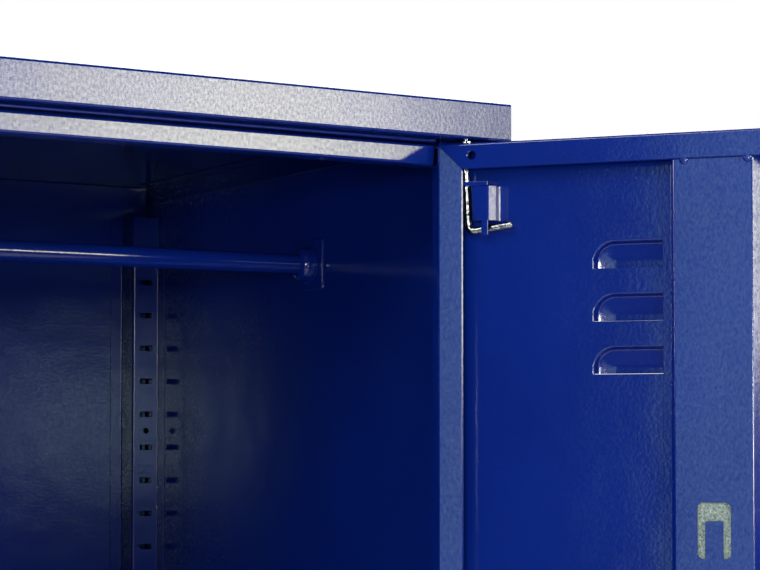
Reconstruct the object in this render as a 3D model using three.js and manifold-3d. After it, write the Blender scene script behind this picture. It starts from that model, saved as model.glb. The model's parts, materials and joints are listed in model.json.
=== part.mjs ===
// Two-door steel locker cabinet, in millimetres: +X right, -Y front, +Z up.
// The origin is on the floor, under the middle of the carcass.
// The right door stands open and the left door is shut.
import * as THREE from "three";
import { mergeVertices } from "three/addons/utils/BufferGeometryUtils.js";
import Module from "manifold-3d";

const wasm = await Module();
wasm.setup();

// ---------------------------------------------------------------- driving dimensions

const WIDTH = 800;
const DEPTH = 600;
const HEIGHT = 1800;
const SHEET = 1.2; // every folded sheet
const GAP = 0.3; // between pieces that touch

const HALF_W = WIDTH / 2;
const FRONT = -DEPTH / 2;
const REAR = DEPTH / 2;
const WALL_IN = HALF_W - SHEET - GAP; // widest a piece may be between the side walls

const FASCIA_H = 26.6; // front edge of the roof and of the base pan
const FASCIA_LIP = 13; // its fold back towards the rear
const BASE_TOP = 81.8; // top of the base pan
const DOOR_CLEAR = 3.2; // between a door and the fascia above or the base pan below
const DOOR_TOP = HEIGHT - FASCIA_H - DOOR_CLEAR;
const DOOR_BOTTOM = BASE_TOP + DOOR_CLEAR;
const DOOR_MID = (DOOR_TOP + DOOR_BOTTOM) / 2;

const DOOR_W = 383;
const DOOR_T = 18;
const DOOR_LIP = 18; // width of the lips folded in round the back of a door
const CENTRE_GAP = 2; // from the cabinet's middle to each door's free edge
const PIVOT_T = 17.6; // pin axis from the hinge-side edge of the door
const PIVOT_N = 8; // pin axis from the face of the door
const PIVOT_X = CENTRE_GAP + DOOR_W - PIVOT_T;
const PIVOT_Y = FRONT + PIVOT_N;
const RIGHT_DOOR_OPEN = 127.4; // degrees, as it stands

const JAMB_X = 388; // inner face of the folded edge beside a door
const JAMB_Y = -271; // plane of the stile that a door closes over
const STILE_X = 360; // where that stile ends
const RAIL_Y = -279; // front face of the top and bottom rails
const RAIL_HALF = 351; // half length of the rails' full-depth part
const RAIL_Z = [1756.3, 1770.5];
const HEADER_Z = 1772; // lower edge of the channel under the roof
const RAIL_DEPTH = 22; // from a rail's face back to its rear edge
const RAIL_FOOT = 16; // lower fold of the top rail
const RAIL_BACK_RISE = 4; // how much higher the top rail's rear edge ends
const SILL_Z = 103; // top of the bottom rail
const CHANNEL_DEPTH = 25; // the channel under the roof, front to back
const CHANNEL_BACK_RISE = 12; // its rear edge ends this much above the front one
const CHANNEL_LIP = 8;
const ROOF_RAIL_W = 18; // angle under the roof, along each side wall
const ROOF_RAIL_Z = 1781;
const ROOF_RAIL_LIP = 6;
const ROOF_RAIL_Y = [-230, 270];
const SIDE_RETURN = 14; // fold of a side wall across the back
const STILE_LIP = 10;
const REAR_PANEL_Y = 291;

const POST_X = 372.5;
const POST_W = 26; // up to the side wall
const POST_FOOT_X = 362; // where its rear fold ends
const POST_Y = 264.7; // slotted face of a rear post
const POST_FLANGE = 12; // forward along the side wall
const POST_TOP = 1768.8;
const POST_MIRROR_Y = 22; // sum of y for a rear post and its front copy
const SLOT_X = 385.7;
const SLOT_W = 11.9;
const SLOT_H = 4.6;
const SLOT_TOP_Z = 1709.3;
const SLOT_PITCH = 30;
const SLOT_COUNT = 54;
const SLOT_HOLE_R = 2.75;
const SLOT_HOLE_STEPS = [4.5, 22.5, 40.5]; // pitches below the first slot

const ROD_R = 8;
const ROD_Y = -20;
const ROD_Z = 1706.7;
const ROD_PLATE = 41;
const ROD_PLATE_T = 2;
const CUP_R = 15;
const CUP_L = 12;
const CUP_SHOULDER = [
  [0, 2],
  [0.9, 5.5],
  [3.4, 9],
]; // how far in from its rim, and how high
const CUP_WALL = 1.4;

const SHELF_Z = 402;
const SHELF_EDGE = 25;
const CLIP_SLOT = 45; // the slot its clips hang in, from the top
const CLIP_LEDGE = 34;
const CLIP_DROP = 10;
const CLIP_T = 2;
const CLIP_TONGUE = [4, 2.8]; // reach and height

const SOCKET_HALF_W = 15;
const SOCKET_REACH = 17; // from the front of the cabinet
const SOCKET_T = 3;

const PIN_R = 2.5;
const PIN_HOLE_R = 3;
const PIN_RISE = 11; // pin end beyond the door's top edge
const PIN_DROP = 60.4; // elbow below the door's top edge
const PIN_LEG = 34;
const PIN_LEG_SLOPE = 0.13;
const PIN_BEND = 6;
const WASHER_R = 5.3;
const WASHER_T = 1.8;
const LIP_HOLE = { t: 25, drop: 8.7, radius: 2.85 };

const BRACKET_Z = [1717, 1744];
const BRACKET_N = 13.5; // outside of its raised face
const BRACKET_WALL_T = 22.6; // side of its raised face, next to the pin
const BRACKET_CORNER_T = 36;
const BRACKET_SLOPE_T = 42;
const BRACKET_END_T = 46;
const EYE_START_T = 11.5;
const EYE_THICK = 2;
const LEG_TONGUE_T = 30.5;
const LEG_TONGUE_Z = 1707;

const STIFF_T = 191.3; // centre of the stiffener from the hinge-side edge
const STIFF_FACE = 53.5;
const STIFF_BASE = 60.6;
const STIFF_WIDE = 73;
const STIFF_RAMP = 11.4; // width of its wall on the door's free side, which slopes more gently
const STIFF_RAMP_FLANGE = 4;
const STIFF_N = 16; // raised face above the door's outer skin
const STIFF_TAB_T = [172.7, 214.9]; // half-round tabs of the door's lip that hold the stiffener's face
const STIFF_TAB_DROP = 18.6;
const STIFF_TAB_R = 3;
const CUTOUT_TOP = 1526.1;
const CUTOUT_W = 22.3;
const CUTOUT_H = 37;
const CUTOUT_R = 4;
const TONGUE_W = 11.8;
const TONGUE_H = 24.8;
const DAMPER_Z = [270, 1590];
const DAMPER_INSET = 4;

const LOUVRE_T = [106, 276];
const LOUVRE_H = 18.3;
const LOUVRE_PITCH = 35.7;
const LOUVRE_TOPS = [1701.2, 245.4];
const LOUVRE_ROWS = 3;
const LOUVRE_R = 15;
const LOUVRE_DEEP = 7;

const LOCK_T = 338; // handle axis from the hinge-side edge
const LOCK_Z = 950;
const BOLT_R = 3;
const BOLT_HOLE_R = 3.7;
const BOLT_START = 18; // bolt's inner end from the handle axis
const BOLT_END_GAP = 1.5;
const GUIDE_Z = [1560, 360];
const GUIDE_HALF_W = 9;
const GUIDE_REACH = 14;
const GUIDE_T = 2;
const GUIDE_FOOT_H = 16;

const HANDLE_PLATE = { halfW: 17, below: 75, above: 25, thick: 3, corner: [8, 16] };
const HANDLE_HUB_R = 12;
const HANDLE_H = 14; // hub, from the plate outwards
const LEVER_L = 92;
const LEVER_HALF_W = 8;
const LEVER_REST = 5; // from the plate to the lever
const SPINDLE_R = 4;
const SPINDLE_END_N = 15.5;
const SPINDLE_HOLE_R = 6; // through the door's skin
const SEAT_R = 6;
const SEAT_DEEP = 8;
const PLUG_R = 5.6;
const PLUG_L = 7.5;
const KEY_SLOT = { halfW: 0.8, halfH: 3.5, deep: 3 };
const CAM_HALF_L = 26;
const CAM_HALF_W = 8;
const CAM_N = [6.5, 9.5];
const END_ROUND = 7.9; // ends of the lever and of the cam

// ---------------------------------------------------------------- materials

const paint = new THREE.MeshStandardMaterial({ color: 0x0a2f96, roughness: 0.22, metalness: 0.15 });
const zinc = new THREE.MeshStandardMaterial({ color: 0xc9cdd2, roughness: 0.22, metalness: 1 });
const felt = new THREE.MeshStandardMaterial({ color: 0xb4bdb6, roughness: 0.9, metalness: 0 });
const plastic = new THREE.MeshStandardMaterial({ color: 0x15171a, roughness: 0.45, metalness: 0 });
const chrome = new THREE.MeshStandardMaterial({ color: 0xdadde0, roughness: 0.12, metalness: 1 });

// ---------------------------------------------------------------- solids

function solid(geometry) {
  const bare = geometry.index ? geometry.toNonIndexed() : geometry.clone();
  bare.deleteAttribute("normal");
  bare.deleteAttribute("uv");
  const merged = mergeVertices(bare, 1e-4);
  return new wasm.Manifold(
    new wasm.Mesh({
      numProp: 3,
      vertProperties: merged.attributes.position.array,
      triVerts: new Uint32Array(merged.index.array),
    }),
  );
}

function geometryOf(manifold) {
  const mesh = manifold.getMesh();
  const geometry = new THREE.BufferGeometry();
  geometry.setAttribute("position", new THREE.BufferAttribute(mesh.vertProperties, 3));
  geometry.setIndex(new THREE.BufferAttribute(mesh.triVerts, 1));
  geometry.computeVertexNormals();
  return geometry;
}

function cut(geometry, ...tools) {
  let made = solid(geometry);
  for (const tool of tools) {
    made = made.subtract(solid(tool));
  }
  return geometryOf(made);
}

function join(geometry, ...others) {
  let made = solid(geometry);
  for (const other of others) {
    made = made.add(solid(other));
  }
  return geometryOf(made);
}

function box([x0, x1], [y0, y1], [z0, z1]) {
  const geometry = new THREE.BoxGeometry(x1 - x0, y1 - y0, z1 - z0);
  return geometry.translate((x0 + x1) / 2, (y0 + y1) / 2, (z0 + z1) / 2);
}

function cylinderZ(x, y, [z0, z1], radius, sides = 20) {
  const geometry = new THREE.CylinderGeometry(radius, radius, z1 - z0, sides);
  return geometry.rotateX(Math.PI / 2).translate(x, y, (z0 + z1) / 2);
}

function cylinderY(x, z, [y0, y1], radius, sides = 20) {
  const geometry = new THREE.CylinderGeometry(radius, radius, y1 - y0, sides);
  return geometry.translate(x, (y0 + y1) / 2, z);
}

// The closed outline of a sheet whose outer face follows the path, with its thickness on the right-hand side.
function sheetShape(path, thickness = SHEET) {
  const points = path.map(([x, y]) => new THREE.Vector2(x, y));
  const across = (a, b) => new THREE.Vector2(b.y - a.y, a.x - b.x).normalize();
  const inner = points.map((p, i) => {
    const before = across(points[Math.max(i - 1, 0)], points[Math.max(i, 1)]);
    const last = points.length - 1;
    const after = across(points[Math.min(i, last - 1)], points[Math.min(i + 1, last)]);
    const mitre = before.clone().add(after);
    return mitre.multiplyScalar((2 * thickness) / mitre.lengthSq()).add(p);
  });
  return new THREE.Shape([...points, ...inner.reverse()]);
}

function extrude(shape, depth, curveSegments = 5) {
  return new THREE.ExtrudeGeometry(shape, { depth, bevelEnabled: false, curveSegments });
}

// A section drawn in plan (x, y) and run up Z.
function alongZ(shape, [z0, z1]) {
  return extrude(shape, z1 - z0).translate(0, 0, z0);
}

// A section drawn as (y, z) and run along X.
const FROM_YZ = new THREE.Matrix4().makeBasis(
  new THREE.Vector3(0, 1, 0),
  new THREE.Vector3(0, 0, 1),
  new THREE.Vector3(1, 0, 0),
);
function alongX(shape, [x0, x1]) {
  return extrude(shape, x1 - x0).applyMatrix4(FROM_YZ).translate(x0, 0, 0);
}

// A face drawn as (x, z) and run along Y.
const FROM_XZ = new THREE.Matrix4().makeBasis(
  new THREE.Vector3(1, 0, 0),
  new THREE.Vector3(0, 0, 1),
  new THREE.Vector3(0, -1, 0),
);
function alongY(shape, [y0, y1]) {
  return extrude(shape, y1 - y0).applyMatrix4(FROM_XZ).translate(0, y1, 0);
}

// A bar of round section along a route.
function roundBar(route, radius, steps, sides) {
  const section = new THREE.Shape();
  section.absarc(0, 0, radius, 0, Math.PI * 2);
  return new THREE.ExtrudeGeometry(section, { steps, extrudePath: route, curveSegments: sides });
}

// A rectangle with rounded corners, given the radius at its bottom and top.
function roundedRect([x0, x1], [y0, y1], bottom, top) {
  const shape = new THREE.Shape();
  const quarter = Math.PI / 2;
  shape.moveTo(x0 + bottom, y0);
  shape.lineTo(x1 - bottom, y0);
  if (bottom) {
    shape.absarc(x1 - bottom, y0 + bottom, bottom, -quarter, 0);
  }
  shape.lineTo(x1, y1 - top);
  shape.absarc(x1 - top, y1 - top, top, 0, quarter);
  shape.lineTo(x0 + top, y1);
  shape.absarc(x0 + top, y1 - top, top, quarter, 2 * quarter);
  shape.lineTo(x0, y0 + bottom);
  if (bottom) {
    shape.absarc(x0 + bottom, y0 + bottom, bottom, 2 * quarter, 3 * quarter);
  }
  return shape;
}

function place(group, name, geometry, material, mirror = [1, 1, 1], shift = [0, 0, 0]) {
  const mesh = new THREE.Mesh(geometry, material);
  mesh.name = name;
  mesh.scale.set(...mirror);
  mesh.position.set(...shift);
  group.add(mesh);
}

// ---------------------------------------------------------------- carcass

const SIDES = [
  ["left", -1],
  ["right", 1],
];
const NOTCH = GAP * 2;
const FASCIA_Z = HEIGHT - FASCIA_H;
const BOLT_X = CENTRE_GAP + DOOR_W - LOCK_T; // above the lock when the right door is shut

// Holes for the four door pins and the right door's bolt, through a horizontal sheet.
function doorHoles(zRange) {
  const pins = SIDES.map(([, s]) => cylinderZ(s * PIVOT_X, PIVOT_Y, zRange, PIN_HOLE_R));
  return [...pins, cylinderZ(BOLT_X, PIVOT_Y, zRange, BOLT_HOLE_R)];
}

function roofCap() {
  const section = sheetShape([
    [REAR, FASCIA_Z],
    [REAR, HEIGHT],
    [FRONT, HEIGHT],
    [FRONT, FASCIA_Z],
    [FRONT + FASCIA_LIP, FASCIA_Z],
  ].reverse());
  const lipEnds = SIDES.map(([, s]) =>
    box(
      [s * HALF_W - SHEET - GAP, s * HALF_W + SHEET + GAP],
      [FRONT + SHEET, FRONT + FASCIA_LIP + 1],
      [FASCIA_Z - 1, FASCIA_Z + SHEET + 1],
    ),
  );
  const holes = doorHoles([FASCIA_Z - 1, FASCIA_Z + SHEET + 1]);
  return cut(alongX(section, [-HALF_W, HALF_W]), ...lipEnds, ...holes);
}

// A channel under the roof, a little behind its front edge.
function roofFrontChannel() {
  const top = HEIGHT - SHEET - GAP;
  const front = RAIL_Y - 1;
  const section = sheetShape([
    [front + CHANNEL_DEPTH, HEADER_Z + CHANNEL_BACK_RISE],
    [front + CHANNEL_DEPTH, top],
    [front, top],
    [front, HEADER_Z],
    [front + CHANNEL_LIP, HEADER_Z],
  ].reverse());
  return alongX(section, [-RAIL_HALF, RAIL_HALF]);
}

// An angle under the roof, along the top of a side wall.
function roofSideRail() {
  const top = HEIGHT - SHEET - GAP;
  const section = sheetShape([
    [WALL_IN - ROOF_RAIL_W, top],
    [WALL_IN, top],
    [WALL_IN, ROOF_RAIL_Z],
    [WALL_IN - ROOF_RAIL_LIP, ROOF_RAIL_Z],
  ]);
  return alongY(section, ROOF_RAIL_Y);
}

function sidePanel() {
  const section = sheetShape([
    [HALF_W - SIDE_RETURN, REAR],
    [HALF_W, REAR],
    [HALF_W, FRONT],
    [JAMB_X, FRONT],
    [JAMB_X, JAMB_Y],
    [STILE_X, JAMB_Y],
    [STILE_X, JAMB_Y + STILE_LIP],
  ]);
  const top = HEIGHT - SHEET - GAP;
  const above = [FASCIA_Z - GAP, HEIGHT];
  return cut(
    alongZ(section, [0, top]),
    box([JAMB_X - 3, HALF_W + 1], [FRONT - 1, FRONT + SHEET + GAP], above),
    box([JAMB_X - 3, WALL_IN], [FRONT - 1, FRONT + FASCIA_LIP + GAP], above),
    box([HALF_W - SIDE_RETURN - 2, HALF_W + 1], [REAR - SHEET - GAP, REAR + 1], above),
    box([STILE_X - 1, JAMB_X - 0.1], [JAMB_Y - 1, JAMB_Y + STILE_LIP + 1], [-1, BASE_TOP + GAP]),
  );
}

function rearPanel() {
  const flange = REAR - SHEET - GAP;
  const section = sheetShape([
    [WALL_IN, flange],
    [WALL_IN, REAR_PANEL_Y],
    [-WALL_IN, REAR_PANEL_Y],
    [-WALL_IN, flange],
  ]);
  return alongZ(section, [2, HEIGHT - SHEET - GAP]);
}

// A corner post of folded sheet with a column of shelf slots in its face.
function slottedPost() {
  const back = REAR_PANEL_Y - GAP;
  const section = sheetShape([
    [POST_FOOT_X, back],
    [POST_X + SHEET, back],
    [POST_X + SHEET, POST_Y + SHEET],
    [POST_X + POST_W, POST_Y + SHEET],
    [POST_X + POST_W, POST_Y - POST_FLANGE],
  ]);
  const face = [POST_Y - 1, POST_Y + SHEET + 1];
  const slots = [];
  for (let k = 0; k < SLOT_COUNT; k += 1) {
    const z = SLOT_TOP_Z - k * SLOT_PITCH;
    slots.push(box([SLOT_X - SLOT_W / 2, SLOT_X + SLOT_W / 2], face, [z - SLOT_H / 2, z + SLOT_H / 2]));
  }
  const holes = SLOT_HOLE_STEPS.map((k) =>
    cylinderY(SLOT_X, SLOT_TOP_Z - k * SLOT_PITCH, face, SLOT_HOLE_R, 16),
  );
  return cut(alongZ(section, [BASE_TOP + GAP, POST_TOP]), ...slots, ...holes);
}

// A rail across the front that both doors close against. Its ends step back to clear the doors' corners.
function frontRail(path) {
  const ends = SIDES.map(([, s]) => {
    const x = [s * RAIL_HALF, s * STILE_X].sort((a, b) => a - b);
    return box([x[0], x[1]], [RAIL_Y - 1, JAMB_Y], [0, HEIGHT]);
  });
  return cut(alongX(sheetShape(path), [-(STILE_X - NOTCH), STILE_X - NOTCH]), ...ends);
}

function frontTopRail() {
  const [low, high] = RAIL_Z;
  return frontRail([
    [RAIL_Y + RAIL_DEPTH, low + RAIL_BACK_RISE],
    [RAIL_Y + RAIL_DEPTH, high],
    [RAIL_Y, high],
    [RAIL_Y, low],
    [RAIL_Y + RAIL_FOOT, low],
  ].reverse());
}

function frontBottomRail() {
  const low = BASE_TOP + GAP;
  return frontRail([
    [RAIL_Y + RAIL_DEPTH, low],
    [RAIL_Y + RAIL_DEPTH, SILL_Z],
    [RAIL_Y, SILL_Z],
    [RAIL_Y, low],
  ].reverse());
}

function basePan() {
  const section = sheetShape([
    [REAR_PANEL_Y - GAP, BASE_TOP - FASCIA_H],
    [REAR_PANEL_Y - GAP, BASE_TOP],
    [FRONT, BASE_TOP],
    [FRONT, BASE_TOP - FASCIA_H],
    [FRONT + FASCIA_LIP, BASE_TOP - FASCIA_H],
  ].reverse());
  const corners = SIDES.map(([, s]) => {
    const x = [s * (JAMB_X - NOTCH), s * HALF_W].sort((a, b) => a - b);
    return box([x[0], x[1]], [FRONT - 1, JAMB_Y + 3], [0, BASE_TOP + 1]);
  });
  const holes = doorHoles([BASE_TOP - SHEET - 1, BASE_TOP + 1]);
  return cut(alongX(section, [-WALL_IN, WALL_IN]), ...corners, ...holes);
}

// A shallow folded tray that stands on the floor and carries the base pan.
function baseTray() {
  const top = BASE_TOP - SHEET - GAP;
  const half = JAMB_X - NOTCH;
  const y = [RAIL_Y - 1, REAR_PANEL_Y - SHEET - GAP * 3];
  const inside = box([SHEET - half, half - SHEET], [y[0] + SHEET, y[1] - SHEET], [SHEET, top + 1]);
  return cut(box([-half, half], y, [0, top]), inside);
}

function rodCup() {
  const bore = ROD_R + GAP;
  const profile = [
    [bore, 0],
    [CUP_R, 0],
    ...CUP_SHOULDER.map(([inset, h]) => [CUP_R - inset, h]),
    [bore + CUP_WALL, CUP_L],
    [bore, CUP_L],
    [bore, 0],
  ].map(([r, h]) => new THREE.Vector2(r, h));
  const cup = new THREE.LatheGeometry(profile, 18).rotateZ(Math.PI / 2);
  return cup.translate(WALL_IN - ROD_PLATE_T - GAP, ROD_Y, ROD_Z);
}

function hangingRod() {
  const half = WALL_IN - ROD_PLATE_T - GAP * 2;
  const rod = new THREE.CylinderGeometry(ROD_R, ROD_R, half * 2, 24);
  return rod.rotateZ(Math.PI / 2).translate(0, ROD_Y, ROD_Z);
}

// The shelf's outline fills the carcass and steps in round the four posts.
function shelf() {
  const middleX = POST_X - 1;
  const middleY = [JAMB_Y + 12, REAR_PANEL_Y - 3];
  const fullY = [POST_MIRROR_Y - POST_Y + POST_FLANGE + 1, POST_Y - POST_FLANGE - 1];
  const shrunk = ([a, b]) => [a + SHEET, b - SHEET];
  const z = [SHELF_Z - SHELF_EDGE, SHELF_Z];
  const below = [z[0] - 1, SHELF_Z - SHEET];
  const middle = [-middleX, middleX];
  const full = [-WALL_IN, WALL_IN];
  const outer = join(box(middle, middleY, z), box(full, fullY, z));
  return cut(outer, box(shrunk(middle), shrunk(middleY), below), box(shrunk(full), shrunk(fullY), below));
}

// A clip whose tongue sits in a post slot and whose ledge carries the shelf's turned-down edge.
function shelfClip() {
  const slotZ = SLOT_TOP_Z - CLIP_SLOT * SLOT_PITCH;
  const half = SLOT_W / 2 - GAP * 2;
  const x = [SLOT_X - half, SLOT_X + half];
  const ledgeTop = SHELF_Z - SHELF_EDGE - GAP;
  const back = POST_Y - GAP;
  const [reach, tall] = CLIP_TONGUE;
  return join(
    box(x, [back - CLIP_T, back], [slotZ - CLIP_DROP, ledgeTop]),
    box(x, [POST_Y - CLIP_LEDGE, back], [ledgeTop - CLIP_T, ledgeTop]),
    box(x, [back - CLIP_T, POST_Y + reach], [slotZ - tall / 2, slotZ + tall / 2]),
  );
}

// A plate behind the fascia's lip, with the hole that the door's pin turns in.
function hingeSocket() {
  const low = FASCIA_Z + SHEET + GAP;
  const z = [low, low + SOCKET_T];
  const x = [PIVOT_X - SOCKET_HALF_W, PIVOT_X + SOCKET_HALF_W];
  const plate = box(x, [FRONT + SHEET + GAP, FRONT + SOCKET_REACH], z);
  return cut(plate, cylinderZ(PIVOT_X, PIVOT_Y, [z[0] - 1, z[1] + 1], PIN_HOLE_R));
}

function buildCarcass() {
  const group = new THREE.Group();
  place(group, "roof_cap", roofCap(), paint);
  place(group, "roof_front_channel", roofFrontChannel(), paint);
  place(group, "front_top_rail", frontTopRail(), paint);
  place(group, "front_bottom_rail", frontBottomRail(), paint);
  place(group, "rear_panel", rearPanel(), paint);
  place(group, "base_pan", basePan(), paint);
  place(group, "base_tray", baseTray(), paint);
  place(group, "hanging_rod", hangingRod(), paint);
  place(group, "shelf", shelf(), paint);
  const socketMirror = FASCIA_Z + BASE_TOP;
  const plateX = [WALL_IN - ROD_PLATE_T, WALL_IN];
  const half = ROD_PLATE / 2;
  const plate = box(plateX, [ROD_Y - half, ROD_Y + half], [ROD_Z - half, ROD_Z + half]);
  for (const [side, s] of SIDES) {
    const front = [s, -1, 1];
    const toFront = [0, POST_MIRROR_Y, 0];
    place(group, `side_panel_${side}`, sidePanel(), paint, [s, 1, 1]);
    place(group, `roof_side_rail_${side}`, roofSideRail(), paint, [s, 1, 1]);
    place(group, `rear_post_${side}`, slottedPost(), paint, [s, 1, 1]);
    place(group, `front_post_${side}`, slottedPost(), paint, front, toFront);
    place(group, `rod_plate_${side}`, plate.clone(), paint, [s, 1, 1]);
    place(group, `rod_cup_${side}`, rodCup(), paint, [s, 1, 1]);
    place(group, `rear_shelf_clip_${side}`, shelfClip(), zinc, [s, 1, 1]);
    place(group, `front_shelf_clip_${side}`, shelfClip(), zinc, front, toFront);
    place(group, `upper_hinge_socket_${side}`, hingeSocket(), zinc, [s, 1, 1]);
    place(group, `lower_hinge_socket_${side}`, hingeSocket(), zinc, [s, 1, -1], [0, 0, socketMirror]);
  }
  return group;
}

// ---------------------------------------------------------------- doors
// A door is drawn shut, in a frame whose origin is on its pin axis: t runs from its hinge-side edge
// towards -x, and n runs from its outer face towards the inside of the cabinet, +y.

const atT = (t) => PIVOT_T - t;
const atN = (n) => n - PIVOT_N;
const spanT = ([t0, t1]) => [atT(t1), atT(t0)];
const spanN = ([n0, n1]) => [atN(n0), atN(n1)];
const planPath = (path) => path.map(([t, n]) => [atT(t), atN(n)]);

function louvreOutline(zTop, inset, below) {
  const x = spanT([LOUVRE_T[0] + inset, LOUVRE_T[1] - inset]);
  return roundedRect(x, [zTop - LOUVRE_H - below, zTop - inset], 0, LOUVRE_R - inset);
}

function doorPan(active) {
  const whole = box(spanT([0, DOOR_W]), spanN([0, DOOR_T]), [DOOR_BOTTOM, DOOR_TOP]);
  const tops = LOUVRE_TOPS.flatMap((top) =>
    Array.from({ length: LOUVRE_ROWS }, (_, row) => top - row * LOUVRE_PITCH),
  );
  const hoods = tops.map((z) => alongY(louvreOutline(z, 0, 0), spanN([-LOUVRE_DEEP, SHEET / 2])));
  const recesses = tops.map((z) =>
    alongY(louvreOutline(z, SHEET, 0.5), spanN([SHEET - LOUVRE_DEEP, SHEET + 1])),
  );
  const hollow = box(
    spanT([SHEET, DOOR_W - SHEET]),
    spanN([SHEET, DOOR_T - SHEET]),
    [DOOR_BOTTOM + SHEET, DOOR_TOP - SHEET],
  );
  const mouth = box(
    spanT([DOOR_LIP, DOOR_W - DOOR_LIP]),
    spanN([SHEET + 1, DOOR_T + 1]),
    [DOOR_BOTTOM + DOOR_LIP, DOOR_TOP - DOOR_LIP],
  );
  const through = [DOOR_BOTTOM - 1, DOOR_TOP + 1];
  const pinHole = cylinderZ(0, 0, through, PIN_HOLE_R);
  const lipN = spanN([DOOR_T - SHEET - 1, DOOR_T + 1]);
  const lipHole = cylinderY(atT(LIP_HOLE.t), DOOR_TOP - LIP_HOLE.drop, lipN, LIP_HOLE.radius);
  const lockCuts = [
    cylinderZ(atT(LOCK_T), 0, through, BOLT_HOLE_R),
    cylinderY(atT(LOCK_T), LOCK_Z, spanN([-1, SHEET + 1]), SPINDLE_HOLE_R),
  ];
  const tabs = STIFF_TAB_T.map((t) =>
    cylinderY(atT(t), DOOR_TOP - STIFF_TAB_DROP, spanN([DOOR_T - SHEET, DOOR_T]), STIFF_TAB_R),
  );
  const pressed = join(whole, ...hoods);
  const pan = cut(pressed, ...recesses, hollow, mouth, pinHole, lipHole, ...(active ? lockCuts : []));
  return join(pan, ...tabs);
}

// The slot is an inverted U, so that a tongue joined at the bottom is left in its middle.
function stiffenerSlot(top) {
  const x = atT(STIFF_T);
  const n = spanN([STIFF_N - SHEET - 2, STIFF_N + 1]);
  const bottom = top - CUTOUT_H;
  const window = roundedRect([x - CUTOUT_W / 2, x + CUTOUT_W / 2], [bottom, top], CUTOUT_R, CUTOUT_R);
  const across = [x - TONGUE_W / 2, x + TONGUE_W / 2];
  const tongue = box(across, [n[0] - 1, n[1] + 1], [bottom - 1, bottom + TONGUE_H]);
  return cut(alongY(window, n), tongue);
}

function doorStiffener() {
  const foot = SHEET + GAP + SHEET;
  const rampEnd = STIFF_T + STIFF_FACE / 2 + STIFF_RAMP;
  const section = sheetShape(
    planPath([
      [rampEnd + STIFF_RAMP_FLANGE, foot],
      [rampEnd, foot],
      [STIFF_T + STIFF_FACE / 2, STIFF_N],
      [STIFF_T - STIFF_FACE / 2, STIFF_N],
      [STIFF_T - STIFF_BASE / 2, foot],
      [STIFF_T - STIFF_WIDE / 2, foot],
    ]),
  );
  const z = [DOOR_BOTTOM + SHEET + GAP, DOOR_TOP - SHEET - GAP];
  const lowerTop = 2 * DOOR_MID - CUTOUT_TOP + CUTOUT_H;
  return cut(alongZ(section, z), stiffenerSlot(CUTOUT_TOP), stiffenerSlot(lowerTop));
}

// The fibre strip inside the stiffener, between the upper and the lower louvres.
function doorDamper() {
  const half = STIFF_FACE / 2 - DAMPER_INSET;
  const n = [SHEET + GAP, STIFF_N - SHEET * 2];
  return box(spanT([STIFF_T - half, STIFF_T + half]), spanN(n), DAMPER_Z);
}

// The folded bracket that guides the pin: an eye above, a raised hat beside it, and a tongue over its leg.
function pinBracket() {
  const foot = SHEET + GAP;
  const [low, high] = BRACKET_Z;
  const body = sheetShape(
    planPath([
      [BRACKET_END_T, foot + SHEET],
      [BRACKET_SLOPE_T, foot + SHEET],
      [BRACKET_CORNER_T, BRACKET_N],
      [BRACKET_WALL_T, BRACKET_N],
      [BRACKET_WALL_T, foot],
    ]),
  );
  const eye = box(spanT([EYE_START_T, BRACKET_CORNER_T]), spanN([foot, BRACKET_N]), [high - EYE_THICK, high]);
  const tongueT = spanT([LEG_TONGUE_T, BRACKET_CORNER_T]);
  const tongue = box(tongueT, spanN([BRACKET_N - SHEET, BRACKET_N]), [LEG_TONGUE_Z, low + 1]);
  const hole = cylinderZ(0, 0, [high - EYE_THICK - 1, high + 1], PIN_HOLE_R, 16);
  return cut(join(alongZ(body, BRACKET_Z), eye, tongue), hole);
}

// An L of round bar: upright through the bracket and the door's edge, then a leg along the door.
function hingePin() {
  const top = DOOR_TOP + PIN_RISE;
  const elbow = DOOR_TOP - PIN_DROP;
  const along = new THREE.Vector3(-1, 0, PIN_LEG_SLOPE).normalize();
  const corner = new THREE.Vector3(0, 0, elbow);
  const route = new THREE.CurvePath();
  const bendStart = new THREE.Vector3(0, 0, elbow + PIN_BEND);
  const bendEnd = corner.clone().addScaledVector(along, PIN_BEND);
  const end = corner.clone().addScaledVector(along, PIN_LEG);
  route.add(new THREE.LineCurve3(new THREE.Vector3(0, 0, top), bendStart));
  route.add(new THREE.QuadraticBezierCurve3(bendStart, corner, bendEnd));
  route.add(new THREE.LineCurve3(bendEnd, end));
  return roundBar(route, PIN_R, 28, 4);
}

function hingeWasher() {
  const z = [DOOR_TOP + GAP, DOOR_TOP + GAP + WASHER_T];
  return cut(cylinderZ(0, 0, z, WASHER_R), cylinderZ(0, 0, [z[0] - 1, z[1] + 1], PIN_HOLE_R));
}

function buildDoor(side, active) {
  const group = new THREE.Group();
  const down = [1, 1, -1];
  const shift = [0, 0, 2 * DOOR_MID];
  place(group, `${side}_door_pan`, doorPan(active), paint);
  place(group, `${side}_door_stiffener`, doorStiffener(), paint);
  place(group, `${side}_door_damping_strip`, doorDamper(), felt);
  place(group, `${side}_upper_pin_bracket`, pinBracket(), paint);
  place(group, `${side}_lower_pin_bracket`, pinBracket(), paint, down, shift);
  place(group, `${side}_upper_hinge_pin`, hingePin(), zinc);
  place(group, `${side}_lower_hinge_pin`, hingePin(), zinc, down, shift);
  place(group, `${side}_upper_washer`, hingeWasher(), zinc);
  place(group, `${side}_lower_washer`, hingeWasher(), zinc, down, shift);
  return group;
}

// ---------------------------------------------------------------- lock, on the right door

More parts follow.
